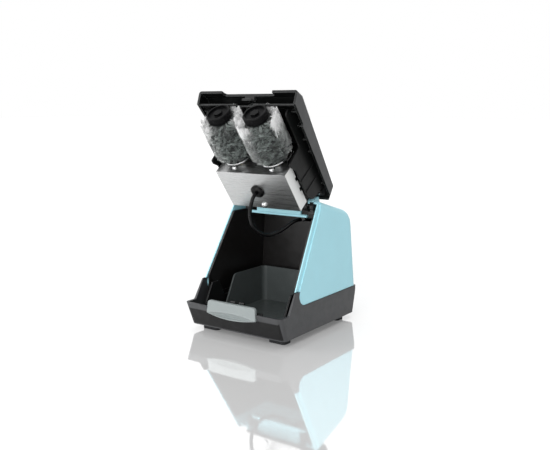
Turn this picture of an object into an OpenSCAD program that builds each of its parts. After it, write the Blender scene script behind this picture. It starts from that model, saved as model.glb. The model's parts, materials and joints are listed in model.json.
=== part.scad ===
// Brush cleaner for soldering tips: a dark base with a residue bin, a coloured
// cover, and a hinged hood that carries a gear drive and two counter-rotating
// wire brushes. Millimetres, Z up, origin under the middle of the base.
// The hood is drawn closed and then swung back to its open rest position.

/* [Body] */
// Width of the base
body_w = 120; // [112:1:132]
// Depth of the base, from the button's face to the rear wall
body_d = 150; // [144:1:160]
// Height of the base's front rim
rim_z = 30.8; // [28:0.2:33]
// Height of the joint between base and cover
joint_z = 36.4; // [34.5:0.1:39]
// Height of the feet
foot_h = 6.5; // [4:0.5:9]
// Wall of the moulded shells
wall = 2.6; // [2:0.1:3.2]
// Inward lean of the cover's sides, degrees
side_lean = 3.87; // [2:0.1:4.5]
// Gap at every shut line
seam = 0.3; // [0.2:0.05:0.5]

/* [Cover] */
// Height of the cover's top face above its front edge
top_z = 136.7; // [134:0.1:140]
// Fall of the top face towards the rear, degrees
top_fall = 15.2; // [10:0.2:18]
// Lean of the front edge from vertical, degrees
front_lean = 30.8; // [29.8:0.1:31.5]
// Depth of the set-back strip along the front edge
strip_set = 1.0; // [0.5:0.1:1.4]
// Width of that strip
strip_w = 5.2; // [3:0.1:7]
// Rounding of the rear top corner
rear_r = 18; // [12:1:22]

/* [Hood] */
// Opening angle of the hood
hood_open = 109; // [0:1:109]
// Lean of the hood's face from vertical when it is closed, degrees
face_lean = 33.4; // [33:0.1:34]
// Wall of the hood
hood_wall = 2.4; // [2:0.1:2.8]
// Rounding of the hood's edges
hood_r = 3; // [2.9:0.1:4]
// Width of the tip opening in the face
mouth_w = 24; // [20:1:30]
// Length of the tip opening in the face
mouth_l = 32; // [28:1:40]

/* [Hinge] */
// Hinge axis, distance behind the origin
hinge_y = 18; // [17.6:0.1:18.4]
// Hinge axis, height
hinge_z = 128; // [127.6:0.1:128.4]
// Diameter of the hinge pins
pin_d = 4; // [3:0.1:5]
// Running clearance on the radius
run_gap = 0.05; // [0.03:0.01:0.08]
// Inner face of the hinge arms, from the middle
arm_x = 29; // [27:0.5:31]
// Thickness of the hinge arms
arm_t = 5; // [4:0.1:6]

/* [Drive] */
// Height of the drive box along the hood
box_h = 47.3; // [44:0.1:50]
// Depth of the folded steel cover's side flanges
flange_d = 14; // [10:0.5:18]
// Thickness of the steel sheet
sheet_t = 1; // [0.8:0.1:1.5]
// Air between the two brushes
brush_play = 0.6; // [0.4:0.1:2]
// Air between a brush and the plate beside it
brush_room = 2.9; // [2:0.1:4]
// Length of a brush's bristles
brush_l = 43; // [36:0.5:46]
// Diameter of the end caps
cap_d = 25; // [18:0.5:27]
// Diameter of the brush spindles
spindle_d = 6; // [5:0.1:8]
// Teeth of each brush gear
gear_teeth = 18; // [16:2:20]
// Teeth of each idler between the brush gears
idler_teeth = 13; // [11:2:15]
// Teeth of the reduction wheel
wheel_teeth = 30; // [28:2:30]
// Teeth of the motor pinion
pinion_teeth = 12; // [12:2:14]
// Diameter of the motor
motor_d = 27.6; // [24:0.2:28]

/* [Bin] */
// Height of the bin's rear wall above the floor of the base
bin_h = 41; // [34:0.5:44]
// Wall of the bin
bin_wall = 1.6; // [1.2:0.1:2]

/* [Button] */
// Width of the release button
button_w = 61; // [50:1:62]
// Travel of the release button
button_travel = 2; // [1.5:0.1:2]
// Thickness of the button's face
button_t = 5.6; // [5:0.1:5.8]

/* [Lead] */
// Diameter of the internal lead
lead_d = 3.8; // [3:0.1:4.4]

/* [Hidden] */
$fn = 64;
eps = 0.01;
big = 400;

// Half sizes and places of the body
half_w = body_w / 2;
half_d = body_d / 2;
face_gap = 2.2;              // base rim behind the button's face
rim_y = -half_d + face_gap;  // outer front rim
foot_back = 8.8;             // bottom edge behind the rim
corner_r = 5;
lean_z = 33;                 // the sides lean inward above this height
floor_z = foot_h + wall;

// Front edge line of the cover: a point on it and its direction
edge_y = -43.2;
edge_z = 51;
cheek_step = 2;              // the base's cheek stands this far before the edge

// Hood's face: its upper end and its directions when closed
crest_y = -0.7;              // where the cover's top line has its stated height
apex_y = -6.8;
apex_z = 138;
hood_l = 114.5;              // length of the face
hood_back = 45;              // how far the hood's blank runs behind the shut line
hood_turn = 180 - face_lean;
cross_y = -58.6;             // front face of the cross wall
cross_t = 1.4;
pocket_y = -half_d + button_t + button_travel + 1.2;            // front face of the base's wall behind the button
pocket_t = 1.8;
latch_w = 17;                // width over both latch hooks
catch_w = 10.4;
catch_y = -62.4;             // rear end of the hood's catch
catch_z = 33.6;
rib_depth = 13.4;
rib_t = 1.5;
rib_places = [14, 56, 71.2, 88, 105.2];
post_places = [26.6, 41.2];
shroud_x = half_at(top_z) - hood_wall - 3.58;
arm_reach = 12;              // how far the hinge arms run down the face
arm_r = 6;                   // round end of the arms
arm_foot_y = -2.6;           // rear end of the arms' feet, from the cover's front edge
arm_foot_l = 11;
arm_foot_t = 2.6;
arm_screw_x = arm_x + arm_t + 7;
arm_screw_y = -5.2;
header_y = 10;               // front edge of the cover's top
heel_gap = 0.25;             // clearance between the hood's heel and that edge as it swings
guide_x = shroud_x + 1.8;
guide_t = 1.6;
screw_x = half_w - 10;
jack_x = -half_w + 21.5;
jack_z = 21;
board_w = 62;                // circuit board: size, lower edge, screw holes, thickness
board_h = 46;
board_z = 22;
board_edge = 5;
board_t = 1.6;
board_gap = 4.4;             // pillars between the liner and the board

// Drive, measured in the hood's frame: up the face, and in from it
brush_d = shroud_x - brush_room - brush_play / 2;
brush_gap = brush_d + brush_play;
box_w = 2 * (shroud_x - 4.4);
drive_s = 58.6;              // brush side of the drive box
drive_y = -51.3;             // inner face of the drive box
axis_t = 20.1;               // brush axes behind that face
brush_foot = 9;
cap_l = 8.6;
box_back = 46.2;             // depth of the gearbox
notch_places = [-16, -29];
lip_screw_x = brush_gap / 2 + 0.8;
low_screw_h = -box_h + 4.3;
grommet_h = -box_h / 2 + 0.15;
gear_top = 4.2;
gear_t = 5;
level_gap = 1;
module_a = brush_gap / (gear_teeth + 2 * idler_teeth);
idler_x = brush_gap / 2 - module_a * (gear_teeth + idler_teeth) / 2;
idler_pin_r = 1.5;
module_b = brush_gap / (wheel_teeth + pinion_teeth);
pinion_x = 0;
tip_room = 0.8;              // air over the tips of the teeth
side_room = 0.6;             // air beside the gears
motor_l = 27;
spindle_foot = -gear_top - 2 * gear_t - level_gap - 6;

// Bin
bin_w = body_w - 27.6;
bin_front = -half_d + 18;
bin_rear = half_d - 28;
bin_low = 9.6;
bin_knee = 13;
bin_r = 7;

// Leaf spring behind the button
spring_z = 24.4;
spring_w = 1.2;

// Button outline
button_top = 37.3;
button_ends = 24.3;
button_sag = 3.3;
pocket_gap = 0.7;
notch_z = button_top + pocket_gap;

// Route of the internal lead, chosen by hand
lead_route = [
    [0, -22.4, 147.6], [0, -26, 145], [0, -30, 142.2], [-0.5, -33.8, 138.6],
    [-1.5, -36, 131.4], [-4, -34.5, 120.8], [-3.8, -30, 109.4], [0, -23, 101.4],
    [4.4, -15, 98.4], [9.6, -8, 100], [14.4, -2, 103.6], [19, 3.4, 108.6],
    [23, 8, 112.2], [25.2, 13, 112.9], [27, 18, 112.8], [28.2, 26, 111.4], [28.4, 36, 109.4],
    [28, 46, 107.2], [28, 53, 106], [28, 57.4, 105], [27.2, 62, 101],
    [24, 64.8, 92], [19.6, 64.6, 82], [18, 64.4, 76], [18, 64.4, 71.6]
];

// ---------------------------------------------------------------- functions
function unit(v) = v / norm(v);
function half_at(z) = half_w - max(0, z - lean_z) * tan(side_lean);
function top_at(y) = top_z - (y - crest_y) * tan(top_fall);
// Place in the closed side view of a point d down the hood's face and h in from it
function hood_at(d, h) = [apex_y - d * sin(face_lean) + h * cos(face_lean),
    apex_z - d * cos(face_lean) - h * sin(face_lean)];
// Under side of the hood's top wall, g below it
function under_top(y, g) = [y, top_at(y) - (hood_wall + g) / cos(top_fall)];
function edge_at(z, out = 0) = edge_y + (z - edge_z) * tan(front_lean) - out / cos(front_lean);
function arc(c, r, a0, a1, n) =
    [for (i = [0:n]) c + r * [cos(a0 + (a1 - a0) * i / n), sin(a0 + (a1 - a0) * i / n)]];
function corner(p, q, s, r, n) =
    let (u = unit(p - q), v = unit(s - q), half = acos(u * v) / 2,
         a = q + u * r / tan(half), b = q + v * r / tan(half),
         c = q + unit(u + v) * r / sin(half))
    [for (i = [0:n]) c + r * unit((a - c) * (1 - i / n) + (b - c) * i / n)];
function rounded(pts, radii, n = 6) =
    let (m = len(pts))
    [for (i = [0:m - 1]) each radii[i] > 0
        ? corner(pts[(i + m - 1) % m], pts[i], pts[(i + 1) % m], radii[i], n) : [pts[i]]];
function wedge(z0, z1, inset) = [
    [-half_at(z0) + inset, z0], [half_at(z0) - inset, z0],
    [half_at(z1) - inset, z1], [-half_at(z1) + inset, z1]
];

// ---------------------------------------------------------------- placing
module side_extrude(x0, x1) {
    translate([x0, 0, 0]) rotate([90, 0, 90]) linear_extrude(x1 - x0) children();
}
module front_extrude(y0, y1) {
    translate([0, y1, 0]) rotate([90, 0, 0]) linear_extrude(y1 - y0) children();
}
module both() {
    children();
    mirror([1, 0, 0]) children();
}
module block(x0, x1, y0, y1, z0, z1) {
    translate([x0, y0, z0]) cube([x1 - x0, y1 - y0, z1 - z0]);
}
module rod_x(r, x0, x1, y, z) {
    translate([x0, y, z]) rotate([0, 90, 0]) cylinder(r = r, h = x1 - x0);
}
module rod_y(r, y0, y1, x, z) {
    translate([x, y1, z]) rotate([90, 0, 0]) cylinder(r = r, h = y1 - y0);
}
// The hood's parts are drawn closed and swung open about the hinge
module swing() {
    translate([0, hinge_y, hinge_z]) rotate([-hood_open, 0, 0])
        translate([0, -hinge_y, -hinge_z]) children();
}
// Hood frame: X across, Y out of the face, Z down the face from the hinge end
module on_face() {
    translate([0, apex_y, apex_z]) rotate([hood_turn, 0, 0]) children();
}
// Top frame: on the top line at the cover's front edge, Y rearward, Z out of the surface
module on_top() {
    translate([0, header_y, top_at(header_y)]) rotate([-top_fall, 0, 0]) children();
}
// Drive frame: Z = 0 is the brush side of the box, Y = 0 its inner face
module on_drive() {
    swing() on_face() translate([0, drive_y, drive_s]) children();
}
// Radius that the hood's heel keeps from the hinge
heel_r = norm([header_y - hinge_y, top_at(header_y) - hinge_z]) + heel_gap;
// Hinge axis in the hood frame
hinge_in = (hinge_y - apex_y) * cos(face_lean) - (hinge_z - apex_z) * sin(face_lean);
hinge_s = -(hinge_y - apex_y) * sin(face_lean) - (hinge_z - apex_z) * cos(face_lean);

// ---------------------------------------------------------------- base
module plan(y0, y1, w, r) {
    polygon(rounded([[-w, y0], [w, y0], [w, y1], [-w, y1]], [r, r, r, r]));
}
module base_loft(inset) {
    low = foot_h + inset;
    hull() {
        translate([0, 0, low]) linear_extrude(eps)
            plan(rim_y + foot_back + inset, half_d - 3 - inset, half_w - 1.2 - inset,
                corner_r + 1 - inset / 2);
        translate([0, 0, rim_z]) linear_extrude(eps)
            plan(rim_y + inset, half_d - inset, half_w - inset, corner_r - inset / 2);
    }
    translate([0, 0, rim_z]) linear_extrude(edge_z - rim_z + 4)
        plan(rim_y + inset, half_d - inset, half_w - inset, corner_r - inset / 2);
}
tip_knee = [edge_at(joint_z) + strip_w / cos(front_lean), joint_z];
// Side view of the base: rim, cheek, and the seat of the cover's rounded lower tip
module base_side() {
    shift = seam / cos(front_lean);
    knee = tip_knee - [shift + seam * tan(front_lean), seam];
    cheek_top = edge_z - seam;
    panel_top = [edge_at(cheek_top) + strip_w / cos(front_lean) - shift, cheek_top];
    polygon(concat(
        [[-big, 0], [-big, rim_z]],
        corner([-big, rim_z], [edge_at(rim_z, cheek_step), rim_z],
            [edge_at(cheek_top, cheek_step), cheek_top], 2, 4),
        corner([edge_at(rim_z, cheek_step), rim_z], [edge_at(cheek_top, cheek_step), cheek_top],
            [0, cheek_top], 1.5, 4),
        [panel_top], corner(panel_top, knee, [half_d, joint_z - seam], 9 + seam, 8),
        [[big, joint_z - seam], [big, 0]]));
}
module button_shape(grow) {
    w = button_w / 2 + grow;
    low = button_ends - grow;
    r = (w * w + button_sag * button_sag) / (2 * button_sag);
    a = asin(w / r);
    bottom = arc([0, low - button_sag + r], r, 270 - a, 270 + a, 12);
    top = button_top + grow;
    polygon(concat(
        [for (p = bottom) p],
        corner([w, low], [w - 1.2, top], [0, top], 3, 5),
        corner([0, top], [-w + 1.2, top], [-w, low], 3, 5)));
}
module screw_places() {
    for (x = [-screw_x, screw_x]) translate([x, half_d - 8, 0]) children();
}
module base_shell() color("#464648") {
    pocket_w = button_w / 2 + pocket_gap;
    difference() {
        union() {
            intersection() {
                difference() {
                    base_loft(0);
                    base_loft(wall);
                }
                side_extrude(-half_w, half_w) base_side();
                // upright sides that lean inward above
                front_extrude(-half_d, half_d) polygon([[-half_w, 0], [half_w, 0], [half_w, lean_z],
                    [half_at(edge_z), edge_z], [-half_at(edge_z), edge_z], [-half_w, lean_z]]);
            }
            // wall, shelf and ends of the button's pocket
            intersection() {
                union() {
                    block(-pocket_w - 2, pocket_w + 2, pocket_y, pocket_y + pocket_t, 16, rim_z);
                    difference() {
                        front_extrude(rim_y - 1, pocket_y + eps) intersection() {
                            button_shape(pocket_gap + 1.8);
                            translate([-half_w, 0]) square([body_w, rim_z]);
                        }
                        front_extrude(rim_y - 2, pocket_y + 1) button_shape(pocket_gap);
                    }
                }
                base_loft(0);
            }
            // guides on both sides of the bin, their front edges leaning like the cheeks
            both() side_extrude(guide_x, guide_x + guide_t) polygon(rounded(
                [[edge_at(27, -5.5), floor_z - 1], [edge_at(27, -5.5), 27], [edge_at(46.5, -4.6), 46.5],
                 [-30, 46.5], [-22, 30], [40, 30], [40, floor_z - 1]],
                [0, 1, 1.2, 3, 5, 4, 0]));
            // ties from the guides to the side walls
            both() for (y = [-46, -8, 30])
                block(guide_x + guide_t - eps, half_w - wall + 0.6, y, y + guide_t, floor_z - 1, 22);
            // screw towers
            screw_places() translate([0, 0, foot_h]) cylinder(r = 4, h = joint_z - foot_h + 2);
            // floor ribs under the bin
            for (y = [-40, 0, 36]) block(-bin_w / 2, bin_w / 2, y, y + 1.6, floor_z - 1, floor_z + 0.2);
        }
        // window of the latch slide
        block(-10, 10, pocket_y - 1, pocket_y + pocket_t + 1, 25.4, rim_z + 1);
        // opening of the pocket in the front wall
        front_extrude(-half_d - 1, pocket_y) button_shape(pocket_gap);
        // screw bores and their counterbores
        screw_places() translate([0, 0, -1]) cylinder(r = 1.7, h = 60);
        screw_places() translate([0, 0, foot_h - 1]) cylinder(r = 3.4, h = 6);
        // hole of the power jack
        rod_y(5.8, half_d - 12, half_d + 2, jack_x, jack_z);
        // sockets of the feet
        foot_places() translate([0, 0, foot_h - 1]) cylinder(r = 2.5, h = wall + 3);
    }
}

// ---------------------------------------------------------------- feet
foot_x = half_w - 18;
foot_y0 = -half_d + 27;
foot_y1 = half_d - 21;
module foot_places() {
    for (x = [-foot_x, foot_x], y = [foot_y0, foot_y1]) translate([x, y, 0]) children();
}
module foot() {
    color("#161616") {
        translate([0, 0, foot_h - 2]) linear_extrude(2) plan(-7.5, 7.5, 11, 4);
        linear_extrude(foot_h - 2 + eps) plan(-6.5, 6.5, 10, 3.5);
        translate([0, 0, foot_h - eps]) cylinder(r = 2.4, h = wall - 0.4);
    }
}
module foot_front_left() translate([-foot_x, foot_y0, 0]) foot();
module foot_front_right() translate([foot_x, foot_y0, 0]) foot();
module foot_rear_left() translate([-foot_x, foot_y1, 0]) foot();
module foot_rear_right() translate([foot_x, foot_y1, 0]) foot();

// ---------------------------------------------------------------- cover
// Rounded solid of the cover; cut is taken off every radius to make the inside
module cover_solid(cut, n) {
    bow = 8;
    cy = half_d - 2.3 - rear_r;
    cz = top_at(cy) - rear_r / cos(top_fall);
    ring = [for (a = [-2, 22, 48, 90 - top_fall])
        [cy + (rear_r - bow) * cos(a), cz + (rear_r - bow) * sin(a), bow]];
    front_r = 3.5;
    ends = [[-62, 26, front_r],
        [-12, top_at(-12) - front_r / cos(top_fall), front_r], [half_d - bow, 26, bow]];
    hull() both() for (p = concat(ring, ends))
        translate([half_at(p.y) - p.z / cos(side_lean), p.x, p.y]) sphere(r = p.z - cut, $fn = n);
}
// Side view of the cover: leaning front edge above, rounded tip below
module cover_side() {
    panel = strip_w / cos(front_lean);
    tip = corner([edge_at(edge_z) + panel, edge_z], tip_knee, [half_d, joint_z], 9, 8);
    polygon(concat(
        [[edge_at(edge_z), edge_z], [edge_at(150), 150], [big, 150], [big, joint_z]],
        [for (i = [len(tip) - 1:-1:0]) tip[i]],
        [[edge_at(edge_z) + panel, edge_z]]));
}
// The strip along the front edge, which turns upright near the top
module strip_side() {
    panel = strip_w / cos(front_lean);
    turn_y = 7.4;
    turn_z = edge_z + (turn_y - panel - edge_y) / tan(front_lean);
    polygon([[edge_at(edge_z - 4) - 5, edge_z - 4], [edge_at(edge_z - 4) + panel, edge_z - 4],
        [turn_y, turn_z], [turn_y, 150], [edge_at(150) - 20, 150]]);
}
bump_r = 9.6;
bump_x0 = 36.3;
bump_x1 = 44;
bump_back = 15.5;            // where the humps start to fall to the top
arch_r = 5;
slot_x1 = arm_x + arm_t + 1.6;
header_z = 116.4;
slot_z = 118.8;
module cover_shell() color("#9fd3df") {
    difference() {
        union() {
            difference() {
                intersection() {
                    difference() {
                        cover_solid(0, 32);
                        cover_solid(wall, 20);
                    }
                    side_extrude(-half_w, half_w) cover_side();
                }
                // between the sides, the top starts behind the hood's heel
                block(-arm_x + 1, arm_x - 1, -60, header_y, 60, 150);
                both() block(arm_x - 1 - eps, half_at(top_z) - wall - 0.4, -60, hinge_y - 6.2, 60, 150);
            }
            // header under the top's front edge, with a round lip
            intersection() {
                union() {
                    block(-arm_x + 1, arm_x - 1, header_y, header_y + wall, header_z, top_z);
                    block(-slot_x1, slot_x1, header_y, header_y + wall, header_z, slot_z);
                    rod_x(1.4, -slot_x1, slot_x1, header_y + 0.6, header_z + 0.8);
                }
                cover_solid(0.2, 20);
            }
            // webs that tie the header to the top
            for (x = [-18, 0, 18]) intersection() {
                side_extrude(x - 0.8, x + 0.8) polygon([[header_y + 1, header_z + 2], [header_y + 1, top_z],
                    [header_y + 16, top_z], [header_y + 16, hinge_z]]);
                cover_solid(0.5, 20);
            }
            // humps over the hinge blocks
            both() intersection() {
                rod_x(bump_r, bump_x0, bump_x1, hinge_y, hinge_z);
                side_extrude(bump_x0 - 1, bump_x1 + 1) polygon([[hinge_y - 12, hinge_z + 4.5],
                    [hinge_y - 3.6, hinge_z + 4.5], [hinge_y - 3.6, top_at(hinge_y - 3.6) - wall],
                    [bump_back + 6, top_at(bump_back + 6) - wall], [bump_back + 6, top_at(bump_back + 6)],
                    [bump_back, 150], [hinge_y - 12, 150]]);
            }
            // rounded corners between the side walls and the top, above the hinge blocks
            both() intersection() {
                front_extrude(header_y - 0.8, header_y + 3) difference() {
                    translate([half_at(hinge_z) - wall - arch_r, hinge_z - 2]) square(arch_r + 1);
                    translate([half_at(hinge_z) - wall - arch_r, hinge_z - 2]) circle(r = arch_r);
                }
                cover_solid(0.3, 20);
            }
            // screw towers in the rear corners
            screw_places() translate([0, 0, joint_z + 2 + seam]) {
                cylinder(r = 4, h = 24);
                translate([-1.2, 0, 0]) cube([2.4, 6, 24]);
            }
        }
        // rebate that the hood's top wall lies in
        side_extrude(-half_w, half_w) polygon([under_top(-30, 2 * seam), under_top(header_y, 2 * seam),
            [header_y, big], [-30, big]]);
        // slots of the hinge arms
        both() block(arm_x - 1, slot_x1, header_y - 5, hinge_y + 10, slot_z, 150);
        both() rod_x(pin_d / 2 + 1.5, arm_x - 2.4, arm_x, hinge_y, hinge_z);
        // room for the hinge blocks and pins
        both() rod_x(bump_r - 2.1, bump_x0 + 1.6, bump_x1 - 1.6, hinge_y, hinge_z);
        both() rod_x(pin_d / 2 + 0.4, arm_x - 2, bump_x0 + 2, hinge_y, hinge_z);
        // strip along the front edge
        difference() {
            side_extrude(-half_w - 5, half_w + 5) strip_side();
            front_extrude(-half_d, half_d) polygon(wedge(20, 160, strip_set));
        }
        screw_places() translate([0, 0, joint_z]) cylinder(r = 1.25, h = 22);
        // clearance over the base's screw towers
        screw_places() translate([0, 0, joint_z - 1]) cylinder(r = 4.3, h = 3 + seam);
    }
}

// ---------------------------------------------------------------- liner
liner_t = 2;
liner_back = half_d - 19;
liner_top = 118;
liner_out = wall + 0.4;
module inner_liner() color("#1c1a1b") {
    low_out = liner_out + 1;
    difference() {
        union() {
            intersection() {
                difference() {
                    front_extrude(-half_d, liner_back + liner_t) union() {
                        polygon(wedge(lean_z, liner_top, liner_out));
                        translate([-half_w + low_out, floor_z + 0.2])
                            square([body_w - 2 * low_out, lean_z + 0.5 - floor_z]);
                    }
                    front_extrude(-half_d - 1, liner_back) union() {
                        polygon(wedge(lean_z, liner_top + 1, liner_out + liner_t));
                        translate([-half_w + low_out + liner_t, 0])
                            square([body_w - 2 * (low_out + liner_t), lean_z + 1]);
                    }
                }
                side_extrude(-half_w, half_w) polygon(rounded([
                    [edge_at(46, -5.8), floor_z + 0.2], [edge_at(46, -5.8), 46], [edge_at(54, -0.8), 54],
                    [edge_at(liner_top, -0.8), liner_top], [liner_back + 3, liner_top],
                    [liner_back + 3, floor_z + 0.2]], [0, 2, 2, 3, 0, 0]));
                union() {
                    cover_solid(wall + 0.35, 20);
                    block(-half_w, half_w, -half_d, half_d, 0, joint_z);
                }
            }
            // pillars of the circuit board
            board_places() rod_y(3, liner_back + 1, liner_back + board_gap, 0, 0);
        }
        // feet of the side walls straddle the ties of the bin's guides
        both() for (y = [-46, -8, 30])
            block(half_w - low_out - liner_t - 1, half_w, y - 0.5, y + guide_t + 0.5, 0, 22.4);
        // hole for the lead
        rod_y(4, liner_back - 1, liner_back + liner_t + 1, 28, 105.2);
        board_places() rod_y(1.1, liner_back + 0.4, liner_back + 5, 0, 0);
    }
}

// ---------------------------------------------------------------- hinge
module hinge_block() color("#1b1b1d") {
    x0 = bump_x0 + 1.9;
    x1 = bump_x1 - 1.9;
    difference() {
        union() {
            rod_x(bump_r - 2.4, x0, x1, hinge_y, hinge_z);
            intersection() {
                block(x0, x1, hinge_y - 6, hinge_y + 9, hinge_z - 8, hinge_z);
                cover_solid(wall + 0.3, 20);
            }
            // rib across the foot
            block(x0 - 1.2, x1 + 2, hinge_y - 6.8, hinge_y - 5, hinge_z - 8, hinge_z - 6);
        }
        rod_x(pin_d / 2, x0 - 2, x1 - 1.5, hinge_y, hinge_z);
    }
}
module hinge_block_right() hinge_block();
module hinge_block_left() mirror([1, 0, 0]) hinge_block();
module hinge_pin() color("#b9bcc0") {
    head = 1.2;
    rod_x(pin_d / 2, arm_x - 0.6, bump_x1 - 3.6, hinge_y, hinge_z);
    rod_x(pin_d / 2 + 1, arm_x - 0.6 - head, arm_x - 0.6, hinge_y, hinge_z);
}
module hinge_pin_right() hinge_pin();
module hinge_pin_left() mirror([1, 0, 0]) hinge_pin();

module hinge_arm() color("#1d1d1f") {
    inner = hood_wall + seam;
    foot_x1 = arm_x + arm_t + 13;
    seat = -hood_wall - seam;
    difference() {
        union() {
            // arm from the hood's top wall and face to the pin
            rod_x(arm_r, arm_x, arm_x + arm_t, hinge_y, hinge_z);
            side_extrude(arm_x, arm_x + arm_t) polygon([
                [hinge_y + 1, hinge_z + arm_r - 0.1], under_top(9, seam), under_top(-4, seam),
                hood_at(2.5, inner), hood_at(arm_reach, inner), hood_at(arm_reach, 10), hood_at(9, 20),
                hood_at(hinge_s + 4.8, hinge_in + 3.6)]);
            // foot along the top wall
            on_top() block(arm_x + arm_t - 1, foot_x1, arm_foot_y - arm_foot_l, arm_foot_y,
                seat - arm_foot_t, seat);
            // gusset
            on_top() side_extrude(arm_x + arm_t - 1, arm_x + arm_t + 1.4) polygon([
                [arm_foot_y, seat], [arm_foot_y, seat - 6], [arm_foot_y - arm_foot_l, seat - 8],
                [arm_foot_y - arm_foot_l, seat]]);
        }
        rod_x(pin_d / 2 + run_gap, arm_x - 1, arm_x + arm_t + 1, hinge_y, hinge_z);
        on_top() translate([arm_screw_x, arm_screw_y, seat - 5]) cylinder(r = 1.6, h = 6);
    }
}
module hinge_arm_right() swing() hinge_arm();
module hinge_arm_left() mirror([1, 0, 0]) hinge_arm_right();
// Slotted pan-head screws that hold the arms' feet to the top wall
module arm_screws() color("#c9cbcd") swing() both() on_top()
    translate([arm_screw_x, arm_screw_y, -hood_wall - seam - arm_foot_t]) {
        difference() {
            translate([0, 0, -1.9]) cylinder(r = 2.9, h = 1.9);
            translate([-3, -0.5, -2.4]) cube([6, 1, 1.1]);
        }
        translate([0, 0, -eps]) cylinder(r = 1.5, h = arm_foot_t + seam + 0.9);
    }

// ---------------------------------------------------------------- hood shell
module hood_solid(cut, n) {
    r = hood_r;
    c = cos(face_lean);
    s = sin(face_lean);
    fall = tan(top_fall);
    drop = r / cos(top_fall);
    // the first sphere touches both the face and the line of the cover's top
    d = (apex_z - r * s - top_z + (apex_y + r * c - crest_y) * fall + drop) / (c + s * fall);
    places = [hood_at(d, r), [hood_back, top_at(hood_back) - drop], hood_at(hood_l, r),
        [rim_y + 3.4, rim_z - 6], [-40, 12]];
    hull() both() for (p = places)
        translate([half_at(max(p.y, lean_z)) - r / cos(side_lean), p.x, p.y]) sphere(r = r - cut, $fn = n);
}
module hood_rim() {
    // side view of what the hood's side walls keep
    polygon([[-big, rim_z + 0.4], [edge_at(rim_z + 0.4, cheek_step + 0.5), rim_z + 0.4],
        [edge_at(edge_z + 1.2, cheek_step + 0.5), edge_z + 1.2], [edge_at(edge_z + 1.2, 0.5), edge_z + 1.2],
        [edge_at(160, 0.5), 160], [-big, 160]]);
}
module brush_axes() for (x = [-brush_gap / 2, brush_gap / 2]) translate([x, axis_t, 0]) children();
module hood_shell() color("#3c3c3e") swing() {
    difference() {
        union() {
            intersection() {
                difference() {
                    hood_solid(0, 32);
                    hood_solid(hood_wall, 16);
                }
                side_extrude(-half_w - 1, half_w + 1) {
                    hood_rim();
                    // the top wall runs back over the cover's side walls
                    polygon([under_top(-20, -eps), under_top(header_y, -eps), [header_y, big], [-20, big]]);
                }
            }
            intersection() {
                union() {
                    // cross wall behind the button, cut away round the tip opening
                    difference() {
                        block(-half_w, half_w, cross_y, cross_y + cross_t, rim_z + 1.8, 70);
                        on_face() block(-40, 40, -11, 2, 60, 130);
                        block(-latch_w / 2 - 2, latch_w / 2 + 2, cross_y - 1, cross_y + cross_t + 1,
                            0, notch_z - 0.4);
                    }
                    // cross ribs outside the shroud
                    on_face() both() for (d = rib_places)
                        block(shroud_x + 2.2, half_w, -rib_depth, 0, d, d + rib_t);
                }
                hood_solid(0.4, 16);
                side_extrude(-half_w - 1, half_w + 1) hood_rim();
            }
            // catch for the latch, hung from the edge of the button's notch
            intersection() {
                side_extrude(-catch_w / 2, catch_w / 2) polygon([[catch_y - 2.2, catch_z], [catch_y, catch_z],
                    [catch_y, catch_z + 1.2], [catch_y - 1, catch_z + 1.6], [catch_y - 1, notch_z + 4],
                    [-72, notch_z + 6], [-72, notch_z], [catch_y - 2.2, notch_z]]);
                hood_solid(0.4, 16);
            }
            // bosses that carry the gearbox
            on_face() both() for (d = [drive_s - 40, drive_s - 10])
                translate([32, -hood_wall - 2.6 + seam, d]) rotate([-90, 0, 0]) cylinder(r = 4, h = 3);
            // frame round the tip opening, inside
            on_face() difference() {
                mouth(2.6, -hood_wall - 1.2, -hood_wall + eps);
                mouth(-eps, -hood_wall - 2, 1);
            }
        }
        front_extrude(-half_d, catch_y - 2.6) button_shape(pocket_gap);
        // the top wall ends in an arc about the hinge, so that it swings clear of the cover
        rod_x(heel_r, -half_w - 1, half_w + 1, hinge_y, hinge_z);
        on_face() mouth(0, -hood_wall - 1, 1);
        // room for the brushes and their caps through the cross wall
        on_face() translate([0, drive_y, drive_s]) brush_axes()
            cylinder(r = brush_d / 2 + 1.5, h = brush_foot + brush_l + 0.6);
        // bores in the gearbox bosses
        on_face() both() for (d = [drive_s - 40, drive_s - 10])
            translate([32, -hood_wall - 4, d]) rotate([-90, 0, 0]) cylinder(r = 1.2, h = 4);
        // screw holes in the heel wall
        on_top() both() translate([arm_screw_x, arm_screw_y, -hood_wall - 1]) cylinder(r = 1.6, h = 2.2);
    }
}
// Oval of the tip opening, grown by g, from y0 to y1
mouth_s = drive_s + brush_foot + brush_l / 2;
module mouth(g, y0, y1) {
    r = mouth_w / 2 + g;
    for (d = [-1, 1]) translate([0, y0, mouth_s + d * (mouth_l - mouth_w) / 2])
        rotate([-90, 0, 0]) cylinder(r = r, h = y1 - y0);
    block(-r, r, y0, y1, mouth_s - (mouth_l - mouth_w) / 2, mouth_s + (mouth_l - mouth_w) / 2);
}
module splash_guard() color("#202022") swing() on_face() {
    seat = -hood_wall - 1.2 - seam;
    difference() {
        union() {
            mouth(2, seat - 1.4, seat);
            mouth(-seam - 0.2, seat - eps, -1);
        }
        mouth(-4.5, seat - 3, 1);
    }
}
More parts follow.
